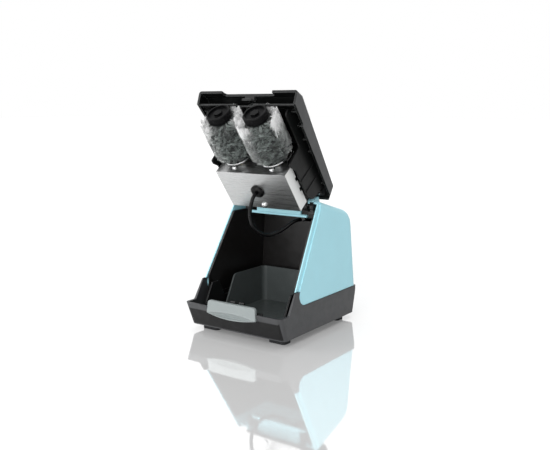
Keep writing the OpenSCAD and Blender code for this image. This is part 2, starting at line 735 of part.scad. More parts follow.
// Plates on both sides of the brushes and of the gearbox
module splash_shroud() color("#222224") swing() on_face() {
    x0 = shroud_x;
    root = -hood_wall - seam;
    both() {
        side_extrude(x0, x0 + 1.6) polygon(rounded([
            [root, 8], [-34, 12], [-40, 20], [-40, 56], [-44.6, 63], [-44.6, 67.5],
            [-21.3, 70], [-21.3, 109], [-14, 110.6], [root, 93.6]],
            [0, 4, 6, 3, 1.5, 1.5, 3, 3, 2, 0]));
        // upright ribs beside the gearbox, round at their rear ends
        for (d = post_places) translate([0, 0, d - 0.7]) linear_extrude(1.4) polygon(rounded(
            [[x0 + 1.5, -39.5], [x0 + 2.5, -39.5], [x0 + 2.5, -11], [x0 + 1.5, -11]], [0, 0.5, 0.5, 0]));
    }
    // wall between gearbox and brushes, open for the spindles
    difference() {
        block(-x0 - 0.5, x0 + 0.5, -12, root, 66.6, 68);
        translate([0, drive_y, drive_s]) brush_axes() cylinder(r = 14, h = 30);
    }
}
module sensor(side) swing() on_face() color("#2b2b2e") {
    x = side * (mouth_w / 2 + 5.4);
    difference() {
        block(x - 2.4, x + 2.4, -hood_wall - 5.2, -hood_wall - seam, mouth_s + 6, mouth_s + 14);
        translate([x - side * 3, -hood_wall - 2.8, mouth_s + 10])
            rotate([0, side * 90, 0]) cylinder(r = 1.5, h = 2);
    }
}
module sensor_emitter() sensor(-1);
module sensor_receiver() sensor(1);

// ---------------------------------------------------------------- drive
module gearbox_housing() color("#2a2a2c") on_drive() {
    w = box_w / 2 - sheet_t - seam;
    low = -box_h + sheet_t + seam;
    top = -sheet_t - seam;
    room_t = gear_t + 2 * side_room;
    difference() {
        union() {
            block(-w, w, sheet_t + seam, box_back, low, top);
            // tabs that fill the notches of the steel flanges
            both() for (h = notch_places)
                block(w - 1, w + sheet_t + seam, flange_d - 1.8, flange_d + 4, h - 1.6, h + 1.6);
            // spindle collars stand through the steel
            brush_axes() translate([0, 0, top - 1]) cylinder(r = 7.5, h = sheet_t + seam + 1);
        }
        // gear room: the row of meshing gears above and the reduction pair below
        translate([0, axis_t, -gear_top - gear_t - side_room]) {
            for (x = [-brush_gap / 2, brush_gap / 2]) translate([x, 0, 0])
                cylinder(r = module_a * (gear_teeth / 2 + 1) + tip_room, h = room_t);
            for (x = [-idler_x, idler_x]) translate([x, 0, 0])
                cylinder(r = module_a * (idler_teeth / 2 + 1) + tip_room, h = room_t);
        }
        translate([0, axis_t, -gear_top - 2 * gear_t - level_gap - side_room]) {
            translate([-brush_gap / 2, 0, 0])
                cylinder(r = module_b * (wheel_teeth / 2 + 1) + tip_room, h = room_t);
            translate([pinion_x, 0, 0])
                cylinder(r = module_b * (pinion_teeth / 2 + 1) + tip_room, h = room_t);
        }
        // motor room and the bore for its shaft
        translate([pinion_x, axis_t, low - 1]) cylinder(r = motor_d / 2 + 0.1, h = motor_l + 3.2);
        translate([pinion_x, axis_t, low]) cylinder(r = 4.4, h = motor_l + 5);
        // bearings, spindles and idler pins
        brush_axes() translate([0, 0, -gear_top - side_room]) cylinder(r = 5, h = 12);
        brush_axes() translate([0, 0, spindle_foot - 0.5]) cylinder(r = spindle_d / 2 + run_gap, h = 20);
        for (x = [-idler_x, idler_x]) translate([x, axis_t, -gear_top]) cylinder(r = idler_pin_r, h = 6);
        // pocket behind the grommet
        rod_y(9, -1, axis_t - motor_d / 2, 0, grommet_h);
        // bores for the screws of the steel cover and of the hood's bosses
        for (x = [-1, 1] * lip_screw_x) translate([x, 8.4, top - 2.2]) cylinder(r = 1.2, h = 4);
        rod_y(1.2, 0, 6, 0, low_screw_h);
        both() for (h = [-40, -10]) rod_y(1.25, box_back - 5, box_back + 1, 32, h);
    }
}
// Folded sheet: inner face, two notched flanges, and a lip on the brush side
module drive_cover() color("#c8c8c6") on_drive() {
    w = box_w / 2;
    lip = 37;
    difference() {
        union() {
            block(-w, w, 0, sheet_t, -box_h, 0);
            both() block(w - sheet_t, w, 0, flange_d, -box_h + 0.4, 0);
            block(-w, w, 0, lip, -sheet_t, 0);
            block(-w + 1.6, w - 1.6, 0, 9, -box_h, -box_h + sheet_t);
        }
        // notches
        both() for (h = notch_places) block(w - 2, w + 1, flange_d - 2.4, flange_d + 1, h - 2.2, h + 2.2);
        // the lip narrows behind the flanges
        both() side_cut(w - 9, w + 1, flange_d, lip + 1);
        brush_axes() translate([0, 0, -2]) cylinder(r = 7.8, h = 4);
        for (x = [-1, 1] * lip_screw_x) translate([x, 8.4, -2]) cylinder(r = 1.7, h = 4);
        rod_y(1.7, -1, 3, 0, low_screw_h);
        rod_y(5.4, -1, 3, 0, grommet_h);
    }
}
module side_cut(x0, x1, y0, y1) {
    translate([0, 0, -2]) linear_extrude(4)
        polygon([[x1, y0], [x0 + 5, y0], [x0, y0 + 8], [x0, y1], [x1, y1]]);
}
module pan_screw(l) {
    // head with a cross recess, and shank; the head's seat is at Z = 0
    difference() {
        rotate_extrude() polygon([[0, 0], [3, 0], [3, 0.9], [2.5, 1.7], [1.5, 2.1], [0, 2.2]]);
        for (a = [0, 90]) rotate([0, 0, a]) translate([-1.6, -0.4, 1.2]) cube([3.2, 0.8, 2]);
    }
    translate([0, 0, -l]) cylinder(r = 1.2, h = l + eps);
}
module drive_screws() color("#d8d9da") on_drive() {
    for (x = [-1, 1] * lip_screw_x) translate([x, 8.4, 0]) pan_screw(sheet_t + 2.3);
    translate([0, 0, low_screw_h]) rotate([90, 0, 0]) pan_screw(sheet_t + 4.6);
}
module cable_grommet() color("#17181a") on_drive() translate([0, 0, grommet_h]) rotate([90, 0, 0])
    difference() {
        union() {
            translate([0, 0, 0.05]) cylinder(r = 7.2, h = 1.8);
            translate([0, 0, 1.85 - eps]) cylinder(r1 = 7.2, r2 = 5.2, h = 1.8);
            translate([0, 0, -sheet_t - 0.2]) cylinder(r = 5.3, h = sheet_t + 0.4);
            translate([0, 0, -sheet_t - 1.9]) cylinder(r = 7, h = 1.75);
        }
        translate([0, 0, -8]) cylinder(r = lead_d / 2 + 0.1, h = 16);
    }
module motor() color("#b4b6b8") on_drive() translate([pinion_x, axis_t, 0]) {
    top = -gear_top - 2 * gear_t - level_gap - 2.6;
    difference() {
        union() {
            translate([0, 0, top - motor_l]) cylinder(r = motor_d / 2, h = motor_l);
            translate([0, 0, top - eps]) cylinder(r = 4, h = 1.2);
        }
        translate([0, 0, top - 9]) cylinder(r = 1 + run_gap, h = 12);
    }
}
// Straight-sided spur gear outline: module m, z teeth
function gear_points(m, z) = [for (i = [0:z - 1]) let (a = 360 / z)
    each [for (q = [[-0.5, -1.2], [-0.33, -1.2], [-0.15, 1], [0.15, 1], [0.33, -1.2]])
        let (r = m * (z / 2 + q.y), t = i * a + q.x * a * (q.y > 0 ? 0.94 : 0.9))
        [r * cos(t), r * sin(t)]]];
module spur(m, z, h, turn = 0) rotate([0, 0, turn]) linear_extrude(h) polygon(gear_points(m, z));
module gear_left() color("#e6e2d2") on_drive() translate([-brush_gap / 2, axis_t, 0]) difference() {
    union() {
        translate([0, 0, -gear_top - gear_t]) spur(module_a, gear_teeth, gear_t);
        translate([0, 0, -gear_top - gear_t - level_gap - eps]) cylinder(r = 7, h = level_gap + 2 * eps);
        translate([0, 0, -gear_top - 2 * gear_t - level_gap]) spur(module_b, wheel_teeth, gear_t);
    }
    translate([0, 0, -30]) cylinder(r = spindle_d / 2, h = 40);
}
module gear_right() color("#e6e2d2") on_drive() translate([brush_gap / 2, axis_t, 0]) difference() {
    translate([0, 0, -gear_top - gear_t]) spur(module_a, gear_teeth, gear_t, 180 / gear_teeth);
    translate([0, 0, -30]) cylinder(r = spindle_d / 2, h = 40);
}
module idler(x) color("#d9d3bd") on_drive() translate([x, axis_t, 0]) difference() {
    translate([0, 0, -gear_top - gear_t]) spur(module_a, idler_teeth, gear_t);
    translate([0, 0, -30]) cylinder(r = idler_pin_r + run_gap, h = 40);
}
module idler_left() idler(-idler_x);
module idler_right() idler(idler_x);
module idler_pins() color("#d3d6d8") on_drive() for (x = [-idler_x, idler_x])
    translate([x, axis_t, -gear_top - gear_t - 0.3]) cylinder(r = idler_pin_r, h = gear_t + gear_top - 1.5);
module motor_pinion() color("#c9a86a") on_drive() translate([pinion_x, axis_t, 0]) {
    top = -gear_top - 2 * gear_t - level_gap;
    translate([0, 0, top]) spur(module_b, pinion_teeth, gear_t, 180 / pinion_teeth);
    translate([0, 0, top - 10]) cylinder(r = 1, h = 10.5);
}
// Plain bearing pressed into the housing's collar
module bearing() color("#b08d57") difference() {
    translate([0, 0, -gear_top + 0.7]) cylinder(r = 5, h = gear_top + 0.2);
    translate([0, 0, -10]) cylinder(r = spindle_d / 2 + run_gap, h = 20);
}
module bearing_left() on_drive() translate([-brush_gap / 2, axis_t, 0]) bearing();
module bearing_right() on_drive() translate([brush_gap / 2, axis_t, 0]) bearing();
// Spindle with the bright disc that the brush seats on
module spindle() color("#d3d6d8") {
    translate([0, 0, spindle_foot])
        cylinder(r = spindle_d / 2, h = brush_foot + brush_l + cap_l - 4 - spindle_foot);
    translate([0, 0, 2.6]) cylinder(r = 6.4, h = 3);
    translate([0, 0, 5.6 - eps]) cylinder(r = 15.5, h = 1.4);
    translate([0, 0, 7 - 2 * eps]) cylinder(r = 9, h = brush_foot - 7 - 0.1);
}
module spindle_left() on_drive() translate([-brush_gap / 2, axis_t, 0]) spindle();
module spindle_right() on_drive() translate([brush_gap / 2, axis_t, 0]) spindle();
// Envelope of the bristles: a barrel with soft shoulders
module brush() color("#87918f") {
    r = brush_d / 2;
    rotate_extrude() polygon(concat(
        [[spindle_d / 2, brush_foot], [10, brush_foot]],
        arc([r - 7, brush_foot + 7.5], 7, -75, 0, 5),
        arc([r - 6, brush_foot + brush_l - 6], 6, 0, 80, 5),
        [[spindle_d / 2, brush_foot + brush_l]]));
}
module brush_left() on_drive() translate([-brush_gap / 2, axis_t, 0]) brush();
module brush_right() on_drive() translate([brush_gap / 2, axis_t, 0]) brush();
// Hollow end cap with a hexagonal boss inside
module cap() color("#1f1f21") translate([0, 0, brush_foot + brush_l]) {
    r = cap_d / 2;
    difference() {
        rotate_extrude()
            polygon([[0, 0], [r - 1.5, 0], [r, 1.5], [r, cap_l - 0.8], [r - 0.8, cap_l], [0, cap_l]]);
        translate([0, 0, cap_l - 2.2]) cylinder(r = r - 2.2, h = 3);
        translate([0, 0, -1]) cylinder(r = spindle_d / 2, h = cap_l - 2.8);
    }
    translate([0, 0, cap_l - 2.3]) cylinder(r = 4.6, h = 2.3, $fn = 6);
}
module cap_left() on_drive() translate([-brush_gap / 2, axis_t, 0]) cap();
module cap_right() on_drive() translate([brush_gap / 2, axis_t, 0]) cap();

// ---------------------------------------------------------------- bin
module residue_bin() color("#3a3f3f") {
    w = bin_w / 2;
    low = floor_z + seam;
    top = floor_z + bin_h;
    knee = floor_z + bin_low;
    intersection() {
        difference() {
            translate([0, 0, low]) linear_extrude(top - low) plan(bin_front, bin_rear, w, bin_r);
            translate([0, 0, low + bin_wall]) linear_extrude(top) plan(
                bin_front + bin_wall, bin_rear - bin_wall,
                w - bin_wall, bin_r - bin_wall);
        }
        side_extrude(-w, w) polygon(rounded([
            [bin_front - 1, low - 1], [bin_front - 1, knee], [bin_front + 34 - 1, knee],
            [bin_front + 36 + bin_knee, top], [bin_rear + 1, top], [bin_rear + 1, low - 1]],
            [0, 0, 5, 5, 0, 0]));
    }
    // finger lip on the front wall
    intersection() {
        front_extrude(bin_front + bin_wall - eps, bin_front + bin_wall + 7) polygon(rounded(
            [[-13, knee - 1.8], [13, knee - 1.8], [13, knee], [-13, knee]], [0, 0, 0, 0]));
        block(-w, w, bin_front, bin_front + 9, low, knee);
    }
}

// ---------------------------------------------------------------- button and latch
module release_button() color("#b2bab9") {
    face = -half_d;
    crown = 311;
    scoop = 400;
    difference() {
        intersection() {
            front_extrude(face - 1, face + button_t) button_shape(0);
            translate([0, face + crown, 0]) cylinder(r = crown, h = 60, $fn = 240);
        }
        // shallow finger scoop under a crescent edge
        translate([0, face - scoop + 1.6, button_top - 7.4]) rotate([-9, 0, 0]) translate([0, 0, -30])
            cylinder(r = scoop, h = 30, $fn = 300);
        // hollow back
        difference() {
            front_extrude(face + 3.2, face + button_t + 1) button_shape(-1.8);
            block(-11, 11, face, face + button_t + 1, 20, button_top - 4);
        }
    }
}
module latch_slide() color("#19191b") {
    back = -half_d + button_t;
    y0 = catch_y + 2;
    nose = catch_y - 0.6;
    low = catch_z + 2;
    block(-latch_w / 2 - 0.5, latch_w / 2 + 0.5, back, y0, 26, 29.6);
    both() side_extrude(2.5, latch_w / 2) polygon([[y0, 26], [y0, low + 1.4], [y0 - 1.2, low + 1.4],
        [nose, low + 0.6], [nose, low], [y0 - 1.2, low], [y0 - 1.2, 26]]);
}
module button_spring() color("#c5c7c9") {
    // bowed leaf between the button and the wall of its pocket
    back = -half_d + button_t + 0.05;
    seat = pocket_y - 0.05;
    sag = seat - back - 0.4;
    half = 22;
    r = (half * half + sag * sag) / (2 * sag);
    a = asin(half / r);
    translate([0, 0, spring_z]) linear_extrude(spring_w)
        polygon(concat(arc([0, back + r], r, 270 - a, 270 + a, 16),
            [for (p = arc([0, back + r], r, 270 + a, 270 - a, 16)) p + [0, 0.4]]));
}

// ---------------------------------------------------------------- electrics
module board_places() {
    for (x = [-1, 1] * (board_w / 2 - board_edge), z = [board_edge + 1, board_h - board_edge - 1])
        translate([x, 0, board_z + z]) children();
}
module circuit_board() color("#2f6b45") {
    y = liner_back + board_gap;
    difference() {
        block(-board_w / 2, board_w / 2, y, y + board_t, board_z, board_z + board_h);
        board_places() rod_y(1.6, y - 1, y + 3, 0, 0);
    }
    // lead connector, relay and capacitor on the rear side
    block(12, 24, y + board_t - 0.1, y + 6.5, 64, 71.4);
    block(-20, -4, y + board_t - 0.1, y + 9, 40, 56);
    rod_y(4, y + board_t - 0.1, y + 9.5, 8, 36);
}
module power_jack() color("#151515") {
    rear = half_d - 3;
    difference() {
        union() {
            rod_y(5.6, rear - 2, rear + 1.4, jack_x, jack_z);
            block(jack_x - 7, jack_x + 7, rear - 13, rear - 1.9, jack_z - 6, jack_z + 6);
            block(jack_x - 5, jack_x + 5, rear - 13, rear - 4, floor_z, jack_z - 5.9);
        }
        rod_y(3.2, rear - 11, rear + 2, jack_x, jack_z);
    }
    rod_y(1, rear - 11.5, rear + 0.4, jack_x, jack_z);
}
module base_screws() color("#c9cbcd") screw_places() {
    translate([0, 0, foot_h + 3.2]) cylinder(r = 2.9, h = 1.75);
    translate([0, 0, foot_h + 4.9]) cylinder(r = 1.2, h = joint_z + 6);
}
module lead_clip() color("#17181a") {
    x = 26.2;
    ring_r = lead_d / 2 + 1;
    z = header_z - 0.6 - ring_r;
    y0 = header_y + wall + 1;
    difference() {
        union() {
            rod_y(ring_r, y0, y0 + 3.6, x, z);
            block(x - 5, x + 5, header_y + wall + 0.1, y0 + 0.8, z, header_z + 2);
        }
        translate([x - 2.4, y0 - 6, z]) rotate([-90, 0, -18]) cylinder(r = lead_d / 2 + 0.2, h = 16);
    }
}

// ---------------------------------------------------------------- lead
function blend_at(p, i, t) =
    let (n = len(p), a = p[max(i - 1, 0)], b = p[i], c = p[i + 1], d = p[min(i + 2, n - 1)])
    0.5 * (2 * b + (c - a) * t + (2 * a - 5 * b + 4 * c - d) * t * t + (3 * b - a - 3 * c + d) * t * t * t);
function smooth(p, k) = concat(
    [for (i = [0:len(p) - 2], j = [0:k - 1]) blend_at(p, i, j / k)], [p[len(p) - 1]]);
module tube(path, r, sides) {
    n = len(path);
    side = [1, 0, 0];
    rings = [for (i = [0:n - 1])
        let (d = unit(path[min(i + 1, n - 1)] - path[max(i - 1, 0)]),
             u = unit(side - (side * d) * d), v = cross(d, u))
        for (k = [0:sides - 1]) path[i] + r * (cos(360 * k / sides) * u + sin(360 * k / sides) * v)];
    faces = concat(
        [[for (k = [0:sides - 1]) k]],
        [[for (k = [sides - 1:-1:0]) (n - 1) * sides + k]],
        [for (i = [0:n - 2], k = [0:sides - 1])
            [i * sides + k, (i + 1) * sides + k, (i + 1) * sides + (k + 1) % sides,
                i * sides + (k + 1) % sides]]);
    polyhedron(rings, faces);
}
module internal_lead() color("#1a1a1c") tube(smooth(lead_route, 2), lead_d / 2, 8);

base_shell();
foot_front_left();
foot_front_right();
foot_rear_left();
foot_rear_right();
cover_shell();
inner_liner();
hinge_block_left();
hinge_block_right();
hinge_pin_left();
hinge_pin_right();
circuit_board();
power_jack();
base_screws();
lead_clip();
button_spring();
residue_bin();
release_button();
latch_slide();
hood_shell();
splash_shroud();
splash_guard();
sensor_emitter();
sensor_receiver();
hinge_arm_left();
hinge_arm_right();
arm_screws();
gearbox_housing();
drive_cover();
drive_screws();
cable_grommet();
motor();
motor_pinion();
bearing_left();
bearing_right();
spindle_left();
spindle_right();
gear_left();
gear_right();
idler_left();
idler_right();
idler_pins();
brush_left();
brush_right();
cap_left();
cap_right();
internal_lead();
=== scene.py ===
import bpy
import json
import math
import numpy as np
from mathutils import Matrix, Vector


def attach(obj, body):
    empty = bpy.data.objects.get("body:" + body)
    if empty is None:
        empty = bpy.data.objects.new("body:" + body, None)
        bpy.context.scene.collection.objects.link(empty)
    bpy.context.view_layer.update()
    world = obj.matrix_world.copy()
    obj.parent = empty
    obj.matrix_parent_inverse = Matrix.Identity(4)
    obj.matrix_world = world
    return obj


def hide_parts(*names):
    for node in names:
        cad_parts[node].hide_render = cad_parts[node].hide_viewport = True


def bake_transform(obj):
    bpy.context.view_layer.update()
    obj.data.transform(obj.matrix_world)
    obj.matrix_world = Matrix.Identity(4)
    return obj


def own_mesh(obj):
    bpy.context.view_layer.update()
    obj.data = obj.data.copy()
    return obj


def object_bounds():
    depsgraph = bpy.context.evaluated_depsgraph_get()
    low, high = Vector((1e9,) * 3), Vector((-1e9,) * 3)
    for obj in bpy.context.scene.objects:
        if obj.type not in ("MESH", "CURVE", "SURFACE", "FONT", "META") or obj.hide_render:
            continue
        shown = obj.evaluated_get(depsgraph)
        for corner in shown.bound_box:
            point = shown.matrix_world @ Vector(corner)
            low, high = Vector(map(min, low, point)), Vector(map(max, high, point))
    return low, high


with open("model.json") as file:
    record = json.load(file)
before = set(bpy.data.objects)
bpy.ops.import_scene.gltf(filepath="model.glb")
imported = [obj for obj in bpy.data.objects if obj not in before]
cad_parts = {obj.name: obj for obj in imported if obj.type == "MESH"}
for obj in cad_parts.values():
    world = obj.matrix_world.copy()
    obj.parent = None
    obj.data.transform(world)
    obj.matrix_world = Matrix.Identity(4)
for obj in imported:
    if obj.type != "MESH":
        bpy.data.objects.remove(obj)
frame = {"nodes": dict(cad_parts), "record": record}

CAD_LO, CAD_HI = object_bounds()
NODES = frame["nodes"]
SCENE = bpy.context.scene

# ---------------------------------------------------------------- camera

# Fitted to the photograph: the base's corners, the cover's edges and the open hood.
CAMERA_PLACE = (0.44171, -0.62819, 0.22874)
CAMERA_PITCH, CAMERA_TURN = math.radians(80.96), math.radians(34.95)
CAMERA_LENS, SENSOR_WIDTH = 48.63, 36
CLIP_NEAR, CLIP_FAR = 0.01, 60

cam_data = bpy.data.cameras.new("camera")
cam_data.sensor_fit = "HORIZONTAL"
cam_data.sensor_width = SENSOR_WIDTH
cam_data.lens = CAMERA_LENS
cam_data.clip_start = CLIP_NEAR
cam_data.clip_end = CLIP_FAR
camera = bpy.data.objects.new("camera", cam_data)
SCENE.collection.objects.link(camera)
camera.location = CAMERA_PLACE
camera.rotation_euler = (CAMERA_PITCH, 0, CAMERA_TURN)
SCENE.camera = camera


# ---------------------------------------------------------------- meshes

def mesh_object(name, verts, faces, smooth=True):
    """A linked object with a mesh of the given corners and faces."""
    me = bpy.data.meshes.new(name)
    me.from_pydata([tuple(float(c) for c in v) for v in verts], [],
                   [tuple(int(i) for i in f) for f in faces])
    me.update()
    if smooth:
        me.polygons.foreach_set("use_smooth", [True] * len(me.polygons))
    ob = bpy.data.objects.new(name, me)
    SCENE.collection.objects.link(ob)
    return ob


def catmull(points, steps):
    """A smooth run through the points, steps pieces to each span."""
    p = np.array(points, float)
    ext = np.vstack([2 * p[0] - p[1], p, 2 * p[-1] - p[-2]])
    out = []
    for i in range(1, len(ext) - 2):
        a, b, c, d = ext[i - 1], ext[i], ext[i + 1], ext[i + 2]
        for k in range(steps):
            t = k / steps
            out.append(0.5 * (2 * b + (c - a) * t + (2 * a - 5 * b + 4 * c - d) * t * t
                              + (3 * b - a - 3 * c + d) * t ** 3))
    out.append(p[-1])
    return np.array(out)


TUBE_ACROSS = (0.3, 0.9, 0.1)       # any direction but the one that the tube sets out in


def tube(name, path, radius, sides):
    """A closed round tube along a path, with a frame carried along so that it doesn't twist."""
    p = np.array(path, float)
    tan = np.gradient(p, axis=0)
    tan /= np.linalg.norm(tan, axis=1)[:, None]
    ref = np.cross(tan[0], TUBE_ACROSS)
    ref /= np.linalg.norm(ref)
    verts = []
    for i in range(len(p)):
        ref = ref - tan[i] * ref.dot(tan[i])
        ref /= np.linalg.norm(ref)
        side = np.cross(tan[i], ref)
        for k in range(sides):
            a = 2 * math.pi * k / sides
            verts.append(p[i] + radius * (math.cos(a) * ref + math.sin(a) * side))
    faces = []
    for i in range(len(p) - 1):
        for k in range(sides):
            n = (k + 1) % sides
            faces.append((i * sides + k, i * sides + n, (i + 1) * sides + n, (i + 1) * sides + k))
    faces.append(tuple(range(sides))[::-1])
    faces.append(tuple(range((len(p) - 1) * sides, len(p) * sides)))
    return mesh_object(name, verts, faces)


# ---------------------------------------------------------------- the lead

# From the drive box, down in a loop, into the liner's hole and behind it to the circuit board.
# The points are those of internal_lead in the CAD source, in millimetres.
LEAD_D = 0.0038
LEAD_SIDES, LEAD_STEPS = 20, 6
LEAD_POINTS = [
    (0, -22.4, 147.6), (0, -26, 145), (0, -30, 142.2), (-0.5, -33.8, 138.6), (-1.5, -36, 131.4),
    (-4, -34.5, 120.8), (-3.8, -30, 109.4), (0, -23, 101.4), (4.4, -15, 98.4), (9.6, -8, 100),
    (14.4, -2, 103.6), (19, 3.4, 108.6), (23, 8, 112.2), (25.2, 13, 112.9), (27, 18, 112.8),
    (28.2, 26, 111.4), (28.4, 36, 109.4), (28, 46, 107.2), (28, 53, 106), (28, 57.4, 105),
    (27.2, 62, 101), (24, 64.8, 92), (19.6, 64.6, 82), (18, 64.4, 76), (18, 64.4, 71.6)]
lead_path = catmull(LEAD_POINTS, LEAD_STEPS) / 1000
lead = tube("flex_lead", lead_path, LEAD_D / 2, LEAD_SIDES)
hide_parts("internal_lead")
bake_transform(lead)


# ---------------------------------------------------------------- directions

# The drive lies in the open hood: X_DIR across, T_DIR through the hood towards its face, and
# H_DIR along the brush spindles, away from the hinge.
DRIVE = np.array((0.0, -0.04087, 0.16332))
X_DIR = np.array((1.0, 0.0, 0.0))
T_DIR = np.array((0.0, 0.7923, 0.6101))
H_DIR = np.array((0.0, -0.6101, 0.7923))
Y_DIR = (0, 1, 0)
Z_DIR = (0, 0, 1)


def drive_points(x, t, h):
    """Places in the object's frame from places in the drive's own directions."""
    return (DRIVE + np.multiply.outer(x, X_DIR) + np.multiply.outer(t, T_DIR)
            + np.multiply.outer(h, H_DIR))


# ---------------------------------------------------------------- materials

BEVEL_SAMPLES = 4
EDGE_TURN = 0.35 / 3.0      # how far a bevel turns the normal where an edge counts in full, for wear and for painted edge highlights
NOISE_SPAN = (0.3, 0.7)     # nearly all of a noise texture's values lie between these
# Noise scales are roughly in features to the metre, and heights in metres.
DRIFT_SCALE, SCUFF_SCALE, DUST_SCALE, PATCH_SCALE = 42, 240, 95, 130
SCUFF_SPAN, DUST_SPAN = (0.35, 0.65), (0.52, 0.8)
LEAST_EDGE_PALING = 0.35           # share of the edge paling (wear, and painted highlight) that an edge has where it is scuffed least
# How much paler the edges turn (rubbed wear, and painted highlight on the shroud), and the dust.
EDGE_PALER, DUST_PALER = 2.2, 2.6
GRAIN_HEIGHT = 0.0004
STAIN_SCALE, LINE_HEIGHT = 26, 0.0001
BLOOM_SCALE, SMEAR_SCALE, RUBBER_SCALE, RUBBER_HEIGHT, RUBBER_EDGE = 160, 400, 1400, 0.0003, 0.0005
SPECK_SCALE, PAD_HEIGHT = 520, 0.0001
FLECK_SCALE, FLECK_HEIGHT = 520, 0.0003
OWN_SHARE = 0.45            # of a strand's grey that is its own; the rest changes along it


def new_material(name):
    """A node material, with its tree and its shader."""
    m = bpy.data.materials.new(name)
    m.use_nodes = True
    nt = m.node_tree
    bsdf = nt.nodes["Principled BSDF"]
    return m, nt, bsdf


def linear(rgb):
    """An sRGB colour of 0 to 255 as Blender's linear colour."""
    return tuple((c / 12.92 if c <= 0.04045 else ((c + 0.055) / 1.055) ** 2.4)
                 for c in (v / 255 for v in rgb)) + (1.0,)


def scaled(col, k):
    """A linear colour made k times as bright."""
    return tuple(min(1.0, c * k) for c in col[:3]) + (1.0,)


def coords(nt, scale=(1, 1, 1), rotation=(0, 0, 0)):
    """The object's own coordinates in metres, scaled and turned."""
    tc = nt.nodes.new("ShaderNodeTexCoord")
    mp = nt.nodes.new("ShaderNodeMapping")
    mp.inputs["Scale"].default_value = scale
    mp.inputs["Rotation"].default_value = rotation
    nt.links.new(tc.outputs["Object"], mp.inputs["Vector"])
    return mp.outputs["Vector"]


def noise(nt, vector, scale, detail, rough, distortion=0.0):
    """The value of a noise texture, about 0.5."""
    n = nt.nodes.new("ShaderNodeTexNoise")
    n.inputs["Scale"].default_value = scale
    n.inputs["Detail"].default_value = detail
    n.inputs["Roughness"].default_value = rough
    n.inputs["Distortion"].default_value = distortion
    nt.links.new(vector, n.inputs["Vector"])
    return n.outputs["Fac"]


def ramp(nt, value, stops):
    """A colour ramp through (place, colour) stops."""
    r = nt.nodes.new("ShaderNodeValToRGB")
    while len(r.color_ramp.elements) < len(stops):
        r.color_ramp.elements.new(0.5)
    for e, (pos, col) in zip(r.color_ramp.elements, stops):
        e.position = pos
        e.color = col
    nt.links.new(value, r.inputs["Fac"])
    return r.outputs["Color"]


def span(nt, value, lo, hi, out_lo, out_hi):
    """The value mapped from lo..hi to out_lo..out_hi, and held at the ends."""
    r = nt.nodes.new("ShaderNodeMapRange")
    for key, v in (("From Min", lo), ("From Max", hi), ("To Min", out_lo), ("To Max", out_hi)):
        r.inputs[key].default_value = v
    nt.links.new(value, r.inputs["Value"])
    return r.outputs["Result"]


def bump(nt, height, strength, distance, normal=None):
    """The normal of a surface that the height lifts by up to the distance."""
    b = nt.nodes.new("ShaderNodeBump")
    b.inputs["Strength"].default_value = strength
    b.inputs["Distance"].default_value = distance
    nt.links.new(height, b.inputs["Height"])
    if normal is not None:
        nt.links.new(normal, b.inputs["Normal"])
    return b.outputs["Normal"]


def bevel(nt, radius):
    """The normal of a surface whose edges are rounded by the radius."""
    b = nt.nodes.new("ShaderNodeBevel")
    b.samples = BEVEL_SAMPLES
    b.inputs["Radius"].default_value = radius
    return b.outputs["Normal"]


def feed(nt, socket, value):
    """Links a socket to another node's output, or sets a plain value on it."""
    if hasattr(value, "node"):
        nt.links.new(value, socket)
    else:
        socket.default_value = value


def maths(nt, operation, *values):
    """A sum on one to three values or sockets."""
    n = nt.nodes.new("ShaderNodeMath")
    n.operation = operation
    for socket, value in zip(n.inputs, values):
        feed(nt, socket, value)
    return n.outputs[0]


def facing(nt, vector, direction):
    """The vector's length along a direction."""
    n = nt.nodes.new("ShaderNodeVectorMath")
    n.operation = "DOT_PRODUCT"
    feed(nt, n.inputs[0], vector)
    feed(nt, n.inputs[1], direction)
    return n.outputs["Value"]


def attribute(nt, name):
    """A value painted on the mesh's points."""
    a = nt.nodes.new("ShaderNodeAttribute")
    a.attribute_name = name
    return a.outputs["Fac"]


def edges(nt, soft):
    """1 on the rounded edges and 0 on the flats, from how far the bevel turns the normal."""
    geo = nt.nodes.new("ShaderNodeNewGeometry")
    turn = facing(nt, soft, geo.outputs["Normal"])
    return span(nt, turn, 1.0, 1.0 - EDGE_TURN, 0.0, 1.0)


def mix_colour(nt, factor, a, b):
    """Colour a where the factor is 0, and b where it is 1."""
    m = nt.nodes.new("ShaderNodeMix")
    m.data_type = "RGBA"
    for index, value in ((0, factor), (6, a), (7, b)):
        feed(nt, m.inputs[index], value)
    return m.outputs[2]


